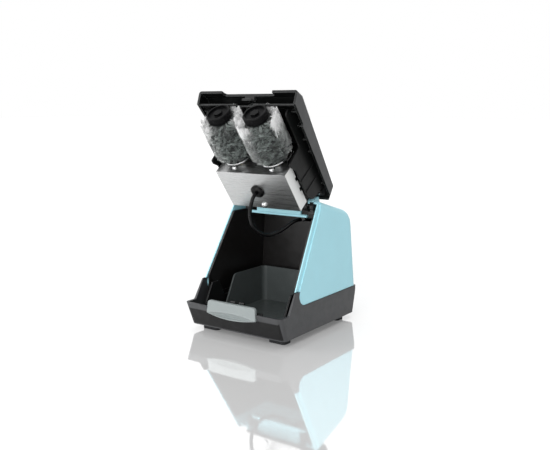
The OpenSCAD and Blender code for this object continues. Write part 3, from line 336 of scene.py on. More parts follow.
def plastic(name, rgb, rough=0.45, grain=1800, depth=0.06, mottle=0.06, edge=0.0004,
            wear_and_highlight=0.25, specular=0.5, dust=0.0):
    """Moulded plastic: spark-eroded grain, slow colour drift, edges rounded and paler: rubbed wear
    on most parts, painted highlights on the shroud's edges.
    """
    m, nt, bsdf = new_material(name)
    col = linear(rgb)
    vec = coords(nt)
    drift = noise(nt, vec, DRIFT_SCALE, 4, 0.6)
    base = ramp(nt, drift, [(0.3, scaled(col, 1 - mottle)), (0.7, scaled(col, 1 + mottle))])
    fine = noise(nt, vec, grain, 2, 0.6)
    soft = bevel(nt, edge)
    edge_mask = edges(nt, soft)
    scuff = noise(nt, vec, SCUFF_SCALE, 5, 0.7)
    # paler rounded edges: rubbed wear, and on the shroud painted highlights
    worn_and_highlit = maths(nt, "MULTIPLY", edge_mask, span(nt, scuff, *SCUFF_SPAN, LEAST_EDGE_PALING * wear_and_highlight, wear_and_highlight))
    base = mix_colour(nt, worn_and_highlit, base, scaled(col, EDGE_PALER))
    if dust:
        haze = noise(nt, vec, DUST_SCALE, 6, 0.72, 0.6)
        base = mix_colour(nt, span(nt, haze, *DUST_SPAN, 0.0, dust), base, scaled(col, DUST_PALER))
    nt.links.new(base, bsdf.inputs["Base Color"])
    patch = noise(nt, vec, PATCH_SCALE, 4, 0.6)
    nt.links.new(span(nt, patch, *NOISE_SPAN, rough - 0.05, rough + 0.07), bsdf.inputs["Roughness"])
    nt.links.new(bump(nt, fine, depth, GRAIN_HEIGHT, soft), bsdf.inputs["Normal"])
    bsdf.inputs["Specular IOR Level"].default_value = specular
    return m


def metal(name, rgb, rough=0.25, scale=(60, 3200, 3200), depth=0.12, edge=0.00025, spread=0.1,
          stain=0.08):
    """Metal with the fine lines of its last working, drawn out along one axis."""
    m, nt, bsdf = new_material(name)
    col = linear(rgb)
    lines = noise(nt, coords(nt, scale), 1.0, 4, 0.6)
    cloud = noise(nt, coords(nt), STAIN_SCALE, 4, 0.55)
    base = ramp(nt, cloud, [(0.3, scaled(col, 1 - stain)), (0.7, scaled(col, 1 + stain / 2))])
    nt.links.new(base, bsdf.inputs["Base Color"])
    nt.links.new(span(nt, lines, *NOISE_SPAN, rough - spread, rough + spread),
                 bsdf.inputs["Roughness"])
    nt.links.new(bump(nt, lines, depth, LINE_HEIGHT, bevel(nt, edge)), bsdf.inputs["Normal"])
    bsdf.inputs["Metallic"].default_value = 1.0
    return m


def rubber(name, rgb, rough=0.7, specular=0.35):
    """Matt rubber or soft sheath, unevenly bloomed, with a fine soft grain."""
    m, nt, bsdf = new_material(name)
    col = linear(rgb)
    vec = coords(nt)
    bloom = noise(nt, vec, BLOOM_SCALE, 5, 0.7)
    nt.links.new(ramp(nt, bloom, [(0.3, scaled(col, 0.8)), (0.72, scaled(col, 1.35))]),
                 bsdf.inputs["Base Color"])
    smear = noise(nt, vec, SMEAR_SCALE, 3, 0.6)
    nt.links.new(span(nt, smear, *NOISE_SPAN, rough - 0.1, rough + 0.08), bsdf.inputs["Roughness"])
    fine = noise(nt, vec, RUBBER_SCALE, 3, 0.6)
    nt.links.new(bump(nt, fine, 0.18, RUBBER_HEIGHT, bevel(nt, RUBBER_EDGE)),
                 bsdf.inputs["Normal"])
    bsdf.inputs["Specular IOR Level"].default_value = specular
    return m


def board_material(name):
    """Solder mask over copper: pads and tracks show as a raised, paler pattern of squares."""
    m, nt, bsdf = new_material(name)
    brick = nt.nodes.new("ShaderNodeTexBrick")
    brick.offset = 0.37
    for key, value in (("Scale", 210), ("Mortar Size", 0.035), ("Color1", linear((18, 74, 48))),
                       ("Color2", linear((22, 84, 54))), ("Mortar", linear((52, 122, 78)))):
        brick.inputs[key].default_value = value
    upright = coords(nt, rotation=(math.radians(90), 0, 0))
    nt.links.new(upright, brick.inputs["Vector"])
    speck = noise(nt, coords(nt), SPECK_SCALE, 4, 0.6)
    pads = span(nt, speck, 0.62, 0.75, 0.0, 0.45)
    nt.links.new(mix_colour(nt, pads, brick.outputs["Color"], linear((150, 150, 120))),
                 bsdf.inputs["Base Color"])
    nt.links.new(span(nt, speck, *NOISE_SPAN, 0.28, 0.42), bsdf.inputs["Roughness"])
    nt.links.new(bump(nt, brick.outputs["Fac"], 0.3, PAD_HEIGHT), bsdf.inputs["Normal"])
    bsdf.inputs["Coat Weight"].default_value = 0.4
    return m


def fibre_material(name, dark, light, white):
    """Wiry abrasive fibre: every strand has its own grey, and worn ends are white, with painted
    light making the upper strands paler.
    """
    m, nt, bsdf = new_material(name)
    fleck = noise(nt, coords(nt), FLECK_SCALE, 4, 0.65, 0.5)
    own = span(nt, attribute(nt, "shade"), 0.0, 1.0, 0.0, OWN_SHARE)
    base = ramp(nt, maths(nt, "MULTIPLY_ADD", fleck, 1 - OWN_SHARE, own),
                [(0.30, linear(dark)), (0.62, linear(light))])
    base = mix_colour(nt, attribute(nt, "pale"), base, linear(white))
    nt.links.new(base, bsdf.inputs["Base Color"])
    nt.links.new(span(nt, fleck, *NOISE_SPAN, 0.4, 0.62), bsdf.inputs["Roughness"])
    nt.links.new(bump(nt, fleck, 0.5, FLECK_HEIGHT), bsdf.inputs["Normal"])
    bsdf.inputs["Sheen Weight"].default_value = 0.25
    return m


def add_inside(m, inner, highlight_radius, shade_rgb, highlight_rgb, shine, inner_shine):
    """Where inner is 1, the plastic is smooth and painted near black as shade, with painted
    highlights on its edges.
    """
    nt = m.node_tree
    bsdf = nt.nodes["Principled BSDF"]
    outside = bsdf.inputs["Base Color"].links[0].from_socket
    dark = mix_colour(nt, edges(nt, bevel(nt, highlight_radius)), linear(shade_rgb), linear(highlight_rgb))
    nt.links.new(mix_colour(nt, inner, outside, dark), bsdf.inputs["Base Color"])
    nt.links.new(span(nt, inner, 0.0, 1.0, shine, inner_shine), bsdf.inputs["Specular IOR Level"])
    return m


# Between which cosines a face comes to count as looking back, inwards, along and sideways.
LOOKS_BACK, LOOKS_IN = (-0.35, -0.6), (-0.5, -0.8)
LOOKS_ALONG, LOOKS_SIDEWAYS = (0.8, 0.95), (0.7, 0.9)
# The hood's inner deck, painted dark as shade, is made of faces that look along the spindles and
# lie at less than this
# along T_DIR: where that starts, and where it is full.
HOOD_DECK = (0.1120, 0.1105)


def hood_material():
    """The hood's plastic: grained outside; its inward faces and inner deck painted near black as
    shade, with painted highlights on their edges.
    """
    m = plastic("hood_plastic", (60, 61, 62), 0.46, depth=0.10, wear_and_highlight=0.45, edge=0.00035)
    nt = m.node_tree
    tc = nt.nodes.new("ShaderNodeTexCoord")
    place, turn = tc.outputs["Object"], tc.outputs["Normal"]
    back = span(nt, facing(nt, turn, T_DIR), *LOOKS_BACK, 0.0, 1.0)
    side = maths(nt, "MULTIPLY", maths(nt, "SIGN", facing(nt, place, X_DIR)),
                 facing(nt, turn, X_DIR))
    inner = maths(nt, "MAXIMUM", back, span(nt, side, *LOOKS_IN, 0.0, 1.0))
    deep = span(nt, facing(nt, place, T_DIR), *HOOD_DECK, 0.0, 1.0)
    flat = span(nt, maths(nt, "ABSOLUTE", facing(nt, turn, H_DIR)), *LOOKS_ALONG, 0.0, 1.0)
    inner = maths(nt, "MAXIMUM", inner, maths(nt, "MULTIPLY", deep, flat))
    # painted shade: the hood's inside near black; painted highlights on its rib edges
    return add_inside(m, inner, 0.00045, (9, 10, 10), (104, 107, 106), 0.5, 0.16)


# The room inside the base's walls, painted dark as shade. Each pair is where its one edge starts
# and where it ends.
BASE_INNER_X = (0.0566, 0.0570)
BASE_INNER_Y = (-0.0708, -0.0704)
BASE_INNER_Z = (0.0075, 0.0080)


def base_material():
    """The base's plastic: grained outside, and painted near black as shade on everything behind the
    walls, with painted highlights on the edges there.
    """
    m = plastic("base_plastic", (50, 51, 53), 0.46, depth=0.10, wear_and_highlight=0.3, dust=0.05)
    nt = m.node_tree
    place = nt.nodes.new("ShaderNodeTexCoord").outputs["Object"]
    across = maths(nt, "ABSOLUTE", facing(nt, place, X_DIR))
    inner = maths(nt, "MULTIPLY", span(nt, across, *BASE_INNER_X, 1.0, 0.0),
                  span(nt, facing(nt, place, Y_DIR), *BASE_INNER_Y, 0.0, 1.0))
    inner = maths(nt, "MULTIPLY", inner,
                  span(nt, facing(nt, place, Z_DIR), *BASE_INNER_Z, 0.0, 1.0))
    # painted shade: near black behind the base's walls; painted highlights on the edges there
    return add_inside(m, inner, 0.0004, (13, 13, 14), (96, 97, 98), 0.5, 0.18)


FLANGE_METALLIC, FLANGE_ROUGH = 0.10, 0.6


def sheet_material():
    """Brushed sheet: mirror-like on the broad faces; the two bent-over flanges are rougher and less
    metallic, and painted near white as their bright reflection.
    """
    m = metal("brushed_sheet", (194, 195, 195), 0.30, (26, 2600, 2600), 0.16, 0.0003,
              spread=0.07, stain=0.05)
    nt = m.node_tree
    bsdf = nt.nodes["Principled BSDF"]
    turn = nt.nodes.new("ShaderNodeTexCoord").outputs["Normal"]
    flange = span(nt, maths(nt, "ABSOLUTE", facing(nt, turn, X_DIR)), *LOOKS_SIDEWAYS, 0.0, 1.0)
    nt.links.new(span(nt, flange, 0.0, 1.0, 1.0, FLANGE_METALLIC), bsdf.inputs["Metallic"])
    rough = bsdf.inputs["Roughness"].links[0].from_socket
    nt.links.new(maths(nt, "MAXIMUM", rough, maths(nt, "MULTIPLY", flange, FLANGE_ROUGH)),
                 bsdf.inputs["Roughness"])
    colour = bsdf.inputs["Base Color"].links[0].from_socket
    # painted reflection: the side-facing flanges are coloured near white for the bright light they
    # reflect
    nt.links.new(mix_colour(nt, flange, colour, linear((240, 241, 240))),
                 bsdf.inputs["Base Color"])
    return m


# The colours are sRGB, adjusted by comparing renders with the photograph.
MATERIALS = {
    "base": base_material(),
    "feet": rubber("foot_rubber", (34, 35, 37), 0.72),
    "cover": plastic("cover_plastic", (169, 223, 235), 0.38, grain=1200, depth=0.035, mottle=0.02,
                     edge=0.0009, wear_and_highlight=0.10),
    "liner": plastic("liner_plastic", (17, 15, 15), 0.36, grain=1500, depth=0.05, mottle=0.10,
                     wear_and_highlight=0.5, dust=0.10),
    "hinge_block": plastic("hinge_block_plastic", (30, 31, 32), 0.42, wear_and_highlight=0.4),
    "bright_steel": metal("turned_steel", (205, 206, 206), 0.2, (2600, 2600, 300), 0.10),
    "board": board_material("board_mask"),
    "black_part": plastic("component_plastic", (24, 24, 25), 0.4, wear_and_highlight=0.3),
    "spring": metal("spring_wire", (150, 150, 148), 0.3, (2400, 300, 2400), 0.1),
    "bin": plastic("bin_plastic", (70, 75, 75), 0.36, depth=0.05, mottle=0.08, wear_and_highlight=0.5,
                   dust=0.12),
    "button": plastic("button_plastic", (133, 140, 140), 0.42, grain=1600, depth=0.05,
                      mottle=0.02, edge=0.0007, wear_and_highlight=0.32),
    "hood": hood_material(),
    # On the shroud the paled edges are painted highlights.
    "inner_plastic": plastic("shroud_plastic", (14, 15, 15), 0.42, wear_and_highlight=0.9, dust=0.08,
                             specular=0.22),
    "guard": plastic("guard_plastic", (86, 90, 89), 0.35, wear_and_highlight=0.3),
    "sheet": sheet_material(),
    "motor": metal("motor_can", (176, 178, 180), 0.3, (2200, 60, 60), 0.08),
    "brass": metal("brass", (196, 160, 92), 0.28, (900, 900, 900), 0.12),
    "gear": plastic("gear_nylon", (214, 210, 196), 0.4, wear_and_highlight=0.1),
    "bristles": fibre_material("brush_fibre", (17, 23, 21), (138, 148, 144), (255, 255, 255)),
    "cap": plastic("cap_plastic", (8, 8, 9), 0.45, depth=0.12, wear_and_highlight=0.6, dust=0.03,
                   specular=0.08),
    "lead": rubber("lead_sheath", (3, 3, 4), 0.34, 0.16),
}
# The grommet shares a slot with the lip of the tip opening, but is black rubber as the lead is.
FINISH_OF = {"cable_grommet": "lead"}

for entry in frame["record"]["subparts"]:
    node = NODES[entry["node"]]
    node.data.materials.clear()
    finish = FINISH_OF.get(entry["node"], entry["material_slot"])
    node.data.materials.append(MATERIALS[finish])
lead.data.materials.append(MATERIALS["lead"])


# ---------------------------------------------------------------- the button

# The outline and thickness are those of release_button, in metres.
BUTTON_HALF, BUTTON_TAPER = 0.0305, 0.0012      # half width, and how much less it is at the top
BUTTON_FRONT, BUTTON_BACK = -0.075, -0.0694
BUTTON_ENDS, BUTTON_TOP, BUTTON_SAG = 0.0243, 0.0373, 0.0033
BUTTON_CROWN, BUTTON_CORNER, BUTTON_ROUND = 0.311, 0.003, 0.0007
CREASE_LIFT, CREASE_RISE = 0.0004, 0.0034       # the crease over the ends, and more mid-way
BEAD, BEAD_WIDTH = 0.0004, 0.0006
HOLLOW, HOLLOW_REACH, HOLLOW_POWER = 0.0024, 0.66, 0.75
LIP_START, LIP_WIDTH = 0.70, 0.16               # shares of the way from the crease to the rim
FACE_LEAN = 0.0008
BUTTON_COLUMNS, LENS_ROWS, FACE_ROWS = 60, 28, 22
SHARP = math.radians(40)


def button_front():
    """The front of the button as x, y, z grids: a crescent-shaped hollow under a crease."""
    u = np.sin(np.pi / 2 * np.arange(-BUTTON_COLUMNS, BUTTON_COLUMNS + 1) / BUTTON_COLUMNS)
    bow = 1 - u ** 2
    top_half = BUTTON_HALF - BUTTON_TAPER
    over = np.maximum(np.abs(u) * top_half - (top_half - BUTTON_CORNER), 0)
    corner = BUTTON_CORNER - np.sqrt(np.maximum(BUTTON_CORNER ** 2 - over ** 2, 0))
    top = BUTTON_TOP - corner
    low = BUTTON_ENDS - BUTTON_SAG * bow
    crease = BUTTON_ENDS + CREASE_LIFT + CREASE_RISE * bow
    rows = []
    for k in range(LENS_ROWS + 1):
        rows.append(low + (1 - math.cos(k / LENS_ROWS * math.pi)) / 2 * (crease - low))
    for k in range(1, FACE_ROWS + 1):
        rows.append(crease + (1 - math.cos(k / FACE_ROWS * math.pi)) / 2 * (top - crease))
    z = np.array(rows)
    narrowing = np.maximum(z - BUTTON_ENDS, 0) / (BUTTON_TOP - BUTTON_ENDS)
    width = BUTTON_HALF - BUTTON_TAPER * narrowing
    x = u * width
    below = np.clip((crease - z) / (crease - low), 0, 1)
    lip = np.clip((below - LIP_START) / LIP_WIDTH, 0, 1)
    lip = 1 - lip * lip * (3 - 2 * lip)
    hollow = HOLLOW * bow * np.minimum(below / HOLLOW_REACH, 1) ** HOLLOW_POWER * lip
    bead = BEAD * (1 - np.exp(-((z - crease) / BEAD_WIDTH) ** 2) * np.sqrt(bow))
    lean = FACE_LEAN * np.clip((z - crease) / (top - crease), 0, 1)
    rim = np.minimum(np.minimum(z - low, top - z), (1 - np.abs(u)) * width)
    inset = np.maximum(BUTTON_ROUND - rim, 0)
    edge = BUTTON_ROUND - np.sqrt(np.maximum(BUTTON_ROUND ** 2 - inset ** 2, 0))
    y = BUTTON_FRONT + x ** 2 / (2 * BUTTON_CROWN) + hollow + bead + lean + edge
    return x, y, z


def button_body(name):
    """The release button: its shaped front, a flat back of the same outline, and the wall."""
    x, y, z = button_front()
    tall, wide = z.shape
    front = np.stack([x, y, z], axis=-1).reshape(-1, 3)
    back = np.stack([x, np.full_like(y, BUTTON_BACK), z], axis=-1).reshape(-1, 3)
    size = tall * wide

    def at(row, column):
        return row * wide + column

    faces = []
    for r in range(tall - 1):
        for c in range(wide - 1):
            quad = (at(r, c), at(r, c + 1), at(r + 1, c + 1), at(r + 1, c))
            faces.append(quad)
            faces.append(tuple(size + i for i in quad[::-1]))
    loop = ([at(0, c) for c in range(wide)] + [at(r, wide - 1) for r in range(1, tall)]
            + [at(tall - 1, c) for c in range(wide - 2, -1, -1)]
            + [at(r, 0) for r in range(tall - 2, 0, -1)])
    for i, a in enumerate(loop):
        b = loop[(i + 1) % len(loop)]
        faces.append((b, a, size + a, size + b))
    ob = mesh_object(name, np.concatenate([front, back]), faces)
    ob.data.set_sharp_from_angle(angle=SHARP)
    return ob


button = button_body("button_body")
button.data.materials.append(MATERIALS["button"])
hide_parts("release_button")
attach(button, "button")

# The leaf spring behind the button, which gives way as the button is pressed, gets a mesh of its
# own on the base.
spring = bpy.data.objects.new("spring_leaf", NODES["button_spring"].data.copy())
SCENE.collection.objects.link(spring)
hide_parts("button_spring")
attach(spring, "base")
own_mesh(spring)


# ---------------------------------------------------------------- brushes

BRUSH_X, AXIS_T = 0.0222, 0.0201                # the spindles' places in the drive's directions
BRUSH_LOW, BRUSH_HIGH, BRUSH_R = 0.0092, 0.0518, 0.0218
STRAND_LIMIT = 0.0001                           # how far past BRUSH_R a strand's middle may go
STRAND_R, TUFT_R, STRAND_SIDES = 0.00022, 0.00024, 3
STRAND_TIP = 0.45                               # a strand's tip is this much as thick as its root
STRANDS = 6400
TUFTS = 3800


def paint(ob, name, values):
    """Puts a value on each of the mesh's points, for the material to read."""
    layer = ob.data.attributes.new(name, "FLOAT", "POINT")
    layer.data.foreach_set("value", np.asarray(values, np.float32).ravel())


# A direction that next to no strand runs in, to start each strand's cross-section from.
ACROSS = np.array((0.31, 0.87, 0.38))
TINY = 1e-12


def strands(name, paths, radius, shade, pale):
    """Many thin strands as one mesh. paths has the shape strands x points x 3."""
    p = np.asarray(paths, float)
    p[..., 1] = np.maximum(p[..., 1], CAD_LO[1] + 2 * radius)      # none past the CAD box
    count, steps, _ = p.shape
    tan = np.gradient(p, axis=1)
    tan /= np.linalg.norm(tan, axis=2)[..., None] + TINY
    ref = np.cross(tan, ACROSS)
    ref /= np.linalg.norm(ref, axis=2)[..., None] + TINY
    side = np.cross(tan, ref)
    taper = np.linspace(1.0, STRAND_TIP, steps)[None, :, None]
    rings = []
    for k in range(STRAND_SIDES):
        a = 2 * math.pi * k / STRAND_SIDES
        rings.append(p + radius * taper * (math.cos(a) * ref + math.sin(a) * side))
    verts = np.stack(rings, axis=2).reshape(-1, 3)
    ring = np.arange(count)[:, None, None] * steps + np.arange(steps - 1)[None, :, None]
    base = ring * STRAND_SIDES
    k = np.arange(STRAND_SIDES)[None, None, :]
    n = (k + 1) % STRAND_SIDES
    above = base + STRAND_SIDES
    quads = np.stack([base + k, base + n, above + n, above + k], axis=-1)
    quads = quads.reshape(-1, 4)
    me = bpy.data.meshes.new(name)
    me.vertices.add(len(verts))
    me.vertices.foreach_set("co", verts.astype(np.float32).ravel())
    me.loops.add(quads.size)
    me.loops.foreach_set("vertex_index", quads.astype(np.int32).ravel())
    me.polygons.add(len(quads))
    me.polygons.foreach_set("loop_start", np.arange(len(quads), dtype=np.int32) * 4)
    me.polygons.foreach_set("use_smooth", [True] * len(quads))
    me.update(calc_edges=True)
    ob = bpy.data.objects.new(name, me)
    SCENE.collection.objects.link(ob)
    paint(ob, "shade", np.repeat(shade, steps * STRAND_SIDES))
    paint(ob, "pale", np.repeat(pale.reshape(-1), STRAND_SIDES))
    return ob


# The core: how it is divided, its waves round and along, and how far inside the strands it lies.
CORE_AROUND, CORE_ROWS = 96, 30
CORE_WAVES = (4, 5)
CORE_INSET, CORE_LUMP = 0.0026, 0.0011
# How fast the core widens from its lower and its upper end, and how wide it is there, as a share.
SHOULDER_LOW, SHOULDER_HIGH = (3.2, 0.55), (3.0, 0.52)


def brush_core(name, centre_x, seed):
    """The dense inside of the brush: a lumpy drum that the strands stand out of, in the darkest
    fibre grey as painted shade between the strands.
    """
    rng = np.random.default_rng(seed)
    phase = rng.uniform(0, 2 * math.pi, CORE_WAVES)
    size = rng.uniform(0.2, 1.0, CORE_WAVES)
    verts, faces = [], []
    for j in range(CORE_ROWS + 1):
        v = j / CORE_ROWS
        h = BRUSH_LOW + (BRUSH_HIGH - BRUSH_LOW) * v
        shoulder = min(1.0, SHOULDER_LOW[0] * v + SHOULDER_LOW[1],
                       SHOULDER_HIGH[0] * (1 - v) + SHOULDER_HIGH[1])
        for i in range(CORE_AROUND):
            a = 2 * math.pi * i / CORE_AROUND
            lump = sum(size[p, q] * math.cos((3 + 2 * p) * a + phase[p, q])
                       * math.cos((2 + q) * 3.1 * v + p)
                       for p in range(CORE_WAVES[0]) for q in range(CORE_WAVES[1])) / 9
            r = (BRUSH_R - CORE_INSET) * shoulder + CORE_LUMP * lump
            verts.append(drive_points(centre_x + r * math.cos(a), AXIS_T + r * math.sin(a), h))
    for j in range(CORE_ROWS):
        for i in range(CORE_AROUND):
            n = (i + 1) % CORE_AROUND
            faces.append((j * CORE_AROUND + i, j * CORE_AROUND + n,
                          (j + 1) * CORE_AROUND + n, (j + 1) * CORE_AROUND + i))
    faces.append(tuple(range(CORE_AROUND))[::-1])
    faces.append(tuple(range(CORE_ROWS * CORE_AROUND, (CORE_ROWS + 1) * CORE_AROUND)))
    ob = mesh_object(name, verts, faces)
    # painted shade: the core takes the fibre's darkest grey
    paint(ob, "shade", np.zeros(len(verts)))
    paint(ob, "pale", np.zeros(len(verts)))
    return ob


# Seen round the brush axis, the fibres have been combed to two sides by the tips pushed
# in between: WORN is the direction in which they splay and turn white.
WORN = math.radians(38)
SPLAY_FROM, SPLAY_OVER = 0.45, 0.45

# A lock's turn round the drum, climb along it, reach and grey: the middle and the spread of each.
LOCKS = 950
LOCK_TURN, LOCK_CLIMB = (0, 1.0), (0.0006, 0.0019)
LOCK_REACH, LOCK_SHADE = (BRUSH_R - 0.0004, 0.0009), (0.42, 0.30)
LOCK_HEIGHTS = (BRUSH_LOW + 0.0004, BRUSH_HIGH - 0.0008)     # the locks lie between these
# How far each strand strays from its lock, and how much of that it makes up for by its tip.
STRAY_ANGLE, STRAY_HEIGHT, STRAY_TURN, STRAY_CLIMB = 0.075, 0.0013, 0.3, 0.0006
STRAY_REACH, STRAY_SHADE, GATHERED = 0.0004, 0.12, 0.6
REACH_RANGE = (0.0186, BRUSH_R + 0.0003)
TURN_SHARE = 0.10           # radians that a strand turns round the drum for each unit of its turn
WAVE_ANGLE, WAVE_HEIGHT = 0.03, 0.0004
STRAND_STEPS, TUFT_STEPS = 6, 7
ROOT_SHARE = 0.74           # a side strand starts at this share of its reach
CURL = 0.62 * math.pi       # and bends over along this much of a sine
EDGE_REACH = 0.66           # the reach at the drum's two ends, as a share
LOW_EDGE, HIGH_EDGE, HIGH_EDGE_WORN, PAST_HIGH = 0.007, 0.011, 0.005, 0.002
END_GAP = 0.0004            # side strands end this far from the drum's two ends
# Side strands whiten upwards: partly white worn fibre, partly painted light from above on the
# brush's shoulders.
PALE_FROM, PALE_OVER = 0.041, 0.010
PALE_LOW, PALE_HIGH_PAINTED_LIGHT, PALE_ROOT = 0.36, 0.85, 0.5


def splay(angle):
    """1 where the fibres splay, 0 on the combed-down front and back."""
    return np.clip((np.abs(np.cos(angle - WORN)) - SPLAY_FROM) / SPLAY_OVER, 0, 1)


def side_strands(name, centre_x, seed, count):
    """Locks of strands that stand out of the drum and curl over along its outside."""
    rng = np.random.default_rng(seed)
    lock_a = rng.uniform(0, 2 * math.pi, LOCKS)
    lock_h = rng.uniform(*LOCK_HEIGHTS, LOCKS)
    lock_turn = rng.normal(*LOCK_TURN, LOCKS)
    lock_climb = rng.normal(*LOCK_CLIMB, LOCKS)
    lock_reach = rng.normal(*LOCK_REACH, LOCKS)
    lock_shade = np.clip(rng.normal(*LOCK_SHADE, LOCKS), 0, 1)
    pick = rng.integers(0, LOCKS, count)
    # each strand strays a little from its lock
    a = lock_a[pick] + rng.normal(0, STRAY_ANGLE, count)
    h = lock_h[pick] + rng.normal(0, STRAY_HEIGHT, count)
    swirl = lock_turn[pick] + rng.normal(0, STRAY_TURN, count)
    climb = lock_climb[pick] + rng.normal(0, STRAY_CLIMB, count)
    reach = lock_reach[pick] + rng.normal(0, STRAY_REACH, count)
    reach = np.clip(reach, *REACH_RANGE)
    # and is shorter towards the drum's ends
    wide = splay(a)
    edge_high = (BRUSH_HIGH + PAST_HIGH - h) / (HIGH_EDGE - HIGH_EDGE_WORN * wide)
    edge_low = (h - BRUSH_LOW) / LOW_EDGE
    edge = np.minimum(np.clip(edge_low, 0, 1), np.clip(edge_high, 0, 1))
    reach = reach * (EDGE_REACH + (1 - EDGE_REACH) * np.sqrt(edge))
    paths = np.zeros((count, STRAND_STEPS, 3))
    pale = np.zeros((count, STRAND_STEPS))
    for s in range(STRAND_STEPS):
        u = s / (STRAND_STEPS - 1)
        out = ROOT_SHARE + (1 - ROOT_SHARE) * math.sin(u * CURL) / math.sin(CURL)
        r = np.minimum(reach * out, BRUSH_R + STRAND_LIMIT)
        ang = (a + (lock_a[pick] - a) * GATHERED * u + swirl * TURN_SHARE * u ** 1.5
               + WAVE_ANGLE * np.sin(9 * u + 5 * a))
        hh = (h + (lock_h[pick] - h) * GATHERED * u + climb * u ** 1.6
              + WAVE_HEIGHT * np.sin(7 * u + 2000 * h))
        hh = np.clip(hh, BRUSH_LOW + END_GAP, BRUSH_HIGH + END_GAP)
        paths[:, s] = drive_points(centre_x + r * np.cos(ang), AXIS_T + r * np.sin(ang), hh)
        # painted light: strands are paler higher up, where light from above falls on the shoulders
        top = np.clip((hh - PALE_FROM) / PALE_OVER, 0, 1)
        pale[:, s] = np.clip(wide * (PALE_LOW + PALE_HIGH_PAINTED_LIGHT * top)
                             * (PALE_ROOT + (1 - PALE_ROOT) * u), 0, 1)
    shade = np.clip(lock_shade[pick] + rng.normal(0, STRAY_SHADE, count), 0, 1)
    return strands(name, paths, STRAND_R, shade, pale)


# The white points of the top row: their directions round the brush in degrees from WORN, and
# their heights in millimetres with the bow of each side.
RIGHT_POINTS = np.linspace(-46, 44, 11)
LEFT_POINTS = np.linspace(142, 216, 9)
RIGHT_HEIGHT, LEFT_HEIGHT, HEIGHT_BOW, HIGHEST = 54.2, 53.6, 1.4, 56.3
LEFT_MIDDLE = 176
# How far each point strays from its place (its height in millimetres), how far out it lies, and
# how its strands start and end.
POINT_ANGLE, POINT_HEIGHT, POINT_OUT = 0.05, 1.2, (0.0160, 0.0214)
ROOT_ANGLE, ROOT_HEIGHTS, ROOT_OUT = 0.11, (0.0345, 0.0485), (0.0140, 0.0212)
TIP_ANGLE, TIP_DROP, TIP_OUT, TIP_OUT_RANGE = 0.05, 0.0030, 0.0009, (0.0145, 0.0216)
BELLY = (0.0002, 0.0014)    # how far a strand bows outwards on its way
TUFT_PALE, TUFT_SHADE = 0.75, (0.5, 0.3)


def tuft_strands(name, centre_x, seed, count):
    """The splayed top row: strands that pass the cap on both sides and gather into white points."""
    rng = np.random.default_rng(seed)
    number = len(RIGHT_POINTS) + len(LEFT_POINTS)
    points = WORN + np.radians(np.concatenate([RIGHT_POINTS, LEFT_POINTS]))
    points = points + rng.normal(0, POINT_ANGLE, number)
    right_bow = np.cos(np.radians(RIGHT_POINTS * 1.6))
    left_bow = np.cos(np.radians(LEFT_POINTS - LEFT_MIDDLE) * 1.8)
    height = np.concatenate([RIGHT_HEIGHT + HEIGHT_BOW * right_bow,
                             LEFT_HEIGHT + HEIGHT_BOW * left_bow])
    height = np.minimum(height + rng.normal(0, POINT_HEIGHT, number), HIGHEST) / 1000
    out = rng.uniform(*POINT_OUT, number)
    pick = rng.integers(0, number, count)
    # each strand starts lower and further apart than the point that it gathers into
    a0 = points[pick] + rng.normal(0, ROOT_ANGLE, count)
    tip = points[pick] + rng.normal(0, TIP_ANGLE, count)
    top = height[pick] - np.abs(rng.normal(0, TIP_DROP, count))
    start = rng.uniform(*ROOT_HEIGHTS, count)
    r0 = rng.uniform(*ROOT_OUT, count)
    r1 = np.clip(out[pick] + rng.normal(0, TIP_OUT, count), *TIP_OUT_RANGE)
    belly = rng.uniform(*BELLY, count)
    paths = np.zeros((count, TUFT_STEPS, 3))
    pale = np.zeros((count, TUFT_STEPS))
    for s in range(TUFT_STEPS):
        u = s / (TUFT_STEPS - 1)
        r = r0 + (r1 - r0) * u + belly * math.sin(math.pi * min(1, u * 1.15))
        r = np.minimum(r, BRUSH_R)
        ang = a0 + (tip - a0) * u ** 1.4
        hh = start + (top - start) * u
        paths[:, s] = drive_points(centre_x + r * np.cos(ang), AXIS_T + r * np.sin(ang), hh)
        # the top row is near white: white worn fibre, brightened further as painted light from
        # above
        pale[:, s] = TUFT_PALE + (1 - TUFT_PALE) * u
    shade = np.clip(rng.normal(*TUFT_SHADE, count), 0, 1)
    return strands(name, paths, TUFT_R, shade, pale)


CORE_SEED, STRAND_SEED, TUFT_SEED = 11, 31, 51
for side, sign in (("left", -1), ("right", 1)):
    centre = sign * BRUSH_X
    parts = [brush_core("brush_core_" + side, centre, CORE_SEED + sign),
             side_strands("brush_strands_" + side, centre, STRAND_SEED + sign, STRANDS),
             tuft_strands("brush_tufts_" + side, centre, TUFT_SEED + sign, TUFTS)]
    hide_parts("brush_" + side)
    for ob in parts:
        ob.data.materials.append(MATERIALS["bristles"])
        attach(ob, "brush_" + side + "_rotor")


# ---------------------------------------------------------------- stage and light

FLOOR_HALF = 12.0
FLOOR_GREYS = (0.78, 0.81)
VEIL_SCALE, POLISH_SCALE = 6, 40
FLOOR_MIRROR = 0.53                 # share of the floor that mirrors, for the soft reflection
FLOOR_ROUGH = (0.03, 0.06)
# Seen by the camera, the floor whitens from its shadowed middle outwards.
WHITE_FROM, WHITE_BY, WHITE_LEAST = 0.35, 1.6, 0.30
WORLD_LIGHT, WORLD_SEEN = 0.46, 1.0
LAMPS = (
    # name, place, aim, size, watts
    ("key", (0.30, -1.25, 0.70), (0, 0, 0.10), (0.8, 0.8), 10.5),
    ("fill", (-0.95, -0.6, 0.60), (0, 0, 0.10), (0.8, 0.8), 4.4),
    ("low", (-0.15, -1.20, 0.14), (0, -0.05, 0.03), (0.8, 0.25), 2.2),
    ("top", (0.0, 0.1, 1.35), (0, 0, 0.1), (1.1, 1.1), 7.0),
)


